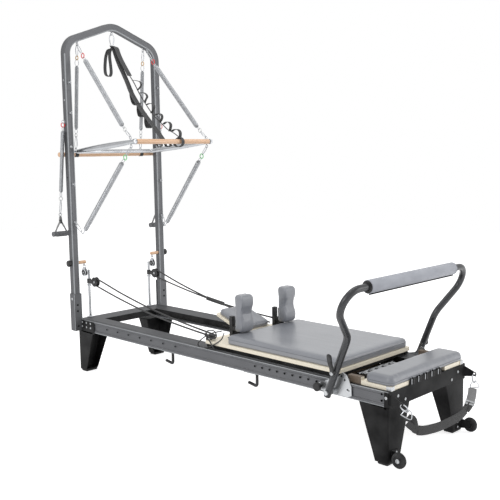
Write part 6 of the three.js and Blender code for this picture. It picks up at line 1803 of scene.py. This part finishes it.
class REFORMER_OT_loop_strap(bpy.types.Operator):
    """Add the strap of many loops between the arch and the push-through bar"""
    bl_idname = "reformer.loop_strap"
    bl_label = "Looped Strap"

    def execute(self, context):
        peak = spot(UPRIGHT.x, 0, under_arch(ARCH.half) - EYE.stand)
        low = spot(UPRIGHT.x + 3, 0, 2094)
        main = curve([low, (42, -1, 2062), (68, -4, 2017), (107, -8, 1957), (152, -11, 1897),
                      (191, -15, 1844), (230, -19, 1785), (284, -23, 1726), (337, -27, 1674),
                      (390, -31, 1628), (443, -34, 1584), (504, -38, 1533), (555, -42, 1490),
                      (578, -44, 1468)], 90)
        tongue = curve([low + (8, 1, -4), (58, 2, 2079), (80, 4, 2036), (108, 5, 1992), (141, 6, 1949),
                        (184, 8, 1892)], 30)
        thin = curve([(184, 8, 1892), (213, 12, 1856), (252, 16, 1798), (276, 19, 1762), (310, 23, 1720),
                      (348, 27, 1675), (382, 31, 1639), (426, 35, 1604), (469, 39, 1572), (511, 42, 1543),
                      (564, 46, 1520), (606, 50, 1495)], 90)
        form = Form().sweep(main, slab(38, 2.6, 1.1), across=Y_AXIS)
        form.sweep(tongue, slab(36, 2.4, 1.0), across=Y_AXIS)
        form.sweep(thin, slab(22, 4.2, 1.6), across=spot(-0.69, 0.72, 0))
        lobes = (((214, 1808), (225, 1792), (231, 1754), (252, 1712), (282, 1701), (303, 1713)),
                 ((292, 1718), (307, 1700), (307, 1663), (321, 1631), (349, 1627), (366, 1648)),
                 ((376, 1640), (388, 1622), (389, 1585), (403, 1558), (422, 1557), (437, 1588)))
        for k, lobe in enumerate(lobes):
            form.sweep(curve([(x, -15 - 7 * k, z) for x, z in lobe], 24), slab(34, 2.2, 1.0), across=Y_AXIS)
        loops = (((208, 1863), (244, 1858), (288, 1845), (294, 1826), (278, 1811), (257, 1799)),
                 ((265, 1780), (303, 1780), (333, 1768), (343, 1752), (330, 1737), (316, 1717)),
                 ((326, 1704), (352, 1710), (382, 1707), (401, 1691), (395, 1673), (370, 1650)),
                 ((399, 1636), (430, 1644), (459, 1639), (468, 1624), (460, 1606), (443, 1591)),
                 ((470, 1578), (497, 1590), (526, 1588), (541, 1573), (537, 1551), (528, 1533)),
                 ((539, 1532), (568, 1543), (601, 1541), (620, 1525), (619, 1501), (613, 1483)))
        for k, loop in enumerate(loops):
            path = curve([(x, 12 + 7 * k, z) for x, z in loop], 30)
            form.sweep(path, slab(15 + 1.6 * k, 3, 1.2), across=Y_AXIS)
        around = [(606, 1496), (631, 1488), (643, 1468), (634, 1448), (608, 1437), (578, 1440), (560, 1454),
                  (574, 1478), (606, 1496)]
        ring = [(586, 1464), (560, 1466), (547, 1455), (556, 1442), (578, 1438), (598, 1446), (586, 1464)]
        for shape, y, count, width in ((around, 50, 48, 22), (ring, -12, 36, 20), (ring, -78, 36, 12)):
            path = curve([(x, y, z) for x, z in shape], count)[:-1]
            form.sweep(path, slab(width, 3, 1.2), across=Y_AXIS, closed=True)
        tear = curve([(36, 0, 2090), (17, 0, 2079), (-28, 0, 2071), (-52, 0, 2041), (-65, 0, 1997),
                      (-70, 0, 1952), (-64, 0, 1920), (-44, 0, 1905), (-18, 0, 1903), (-4, 0, 1921),
                      (-6, 0, 1966), (-14, 0, 2031), (-6, 0, 2066), (20, 0, 2082)], 70)
        form.sweep(tear, slab(24, 2.4, 1.0), across=Y_AXIS)
        piece("many_loop_strap", form, "webbing", ("base", "push_frame"),
              replaces="loop_strap", blend=(low, spot(PUSH.x - 18, 50, PUSH.z)))
        hook = Form().snap(peak - Z_AXIS * 4, low - Z_AXIS * 4, spot(0.69, -0.72, 0), 27, 3)
        piece("strap_carabiner", hook, "chrome", "base")
        return {"FINISHED"}


# The panel and the run


class REFORMER_PT_pieces(bpy.types.Panel):
    """Lists the reformer's pieces"""
    bl_idname = "REFORMER_PT_pieces"
    bl_label = "Reformer"
    bl_space_type = "VIEW_3D"
    bl_region_type = "UI"
    bl_category = "Reformer"

    def draw(self, context):
        for operator in OPERATORS:
            self.layout.operator(operator.bl_idname)
        for group in (context.scene.reformer_colours, context.scene.reformer_sizes):
            for key in group.bl_rna.properties.keys():
                if key not in ("rna_type", "name"):
                    self.layout.prop(group, key)


OPERATORS = (
    REFORMER_OT_stage,
    REFORMER_OT_ropes,
    REFORMER_OT_rails,
    REFORMER_OT_legs,
    REFORMER_OT_tower,
    REFORMER_OT_push_bar,
    REFORMER_OT_springs,
    REFORMER_OT_roll_down,
    REFORMER_OT_handles,
    REFORMER_OT_pegs,
    REFORMER_OT_rope_pulleys,
    REFORMER_OT_carriage,
    REFORMER_OT_pads,
    REFORMER_OT_platform,
    REFORMER_OT_footbar,
    REFORMER_OT_foot_strap,
    REFORMER_OT_loop_strap,
)
CLASSES = (ReformerColours, ReformerSizes, *OPERATORS, REFORMER_PT_pieces)


def register():
    for each in CLASSES:
        bpy.utils.register_class(each)
    bpy.types.Scene.reformer_colours = bpy.props.PointerProperty(type=ReformerColours)
    bpy.types.Scene.reformer_sizes = bpy.props.PointerProperty(type=ReformerSizes)


def unregister():
    del bpy.types.Scene.reformer_sizes
    del bpy.types.Scene.reformer_colours
    for each in reversed(CLASSES):
        bpy.utils.unregister_class(each)


def main():
    register()
    for operator in OPERATORS:
        group, name = operator.bl_idname.split(".")
        getattr(getattr(bpy.ops, group), name)()
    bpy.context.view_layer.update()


if __name__ == "__main__":
    main()
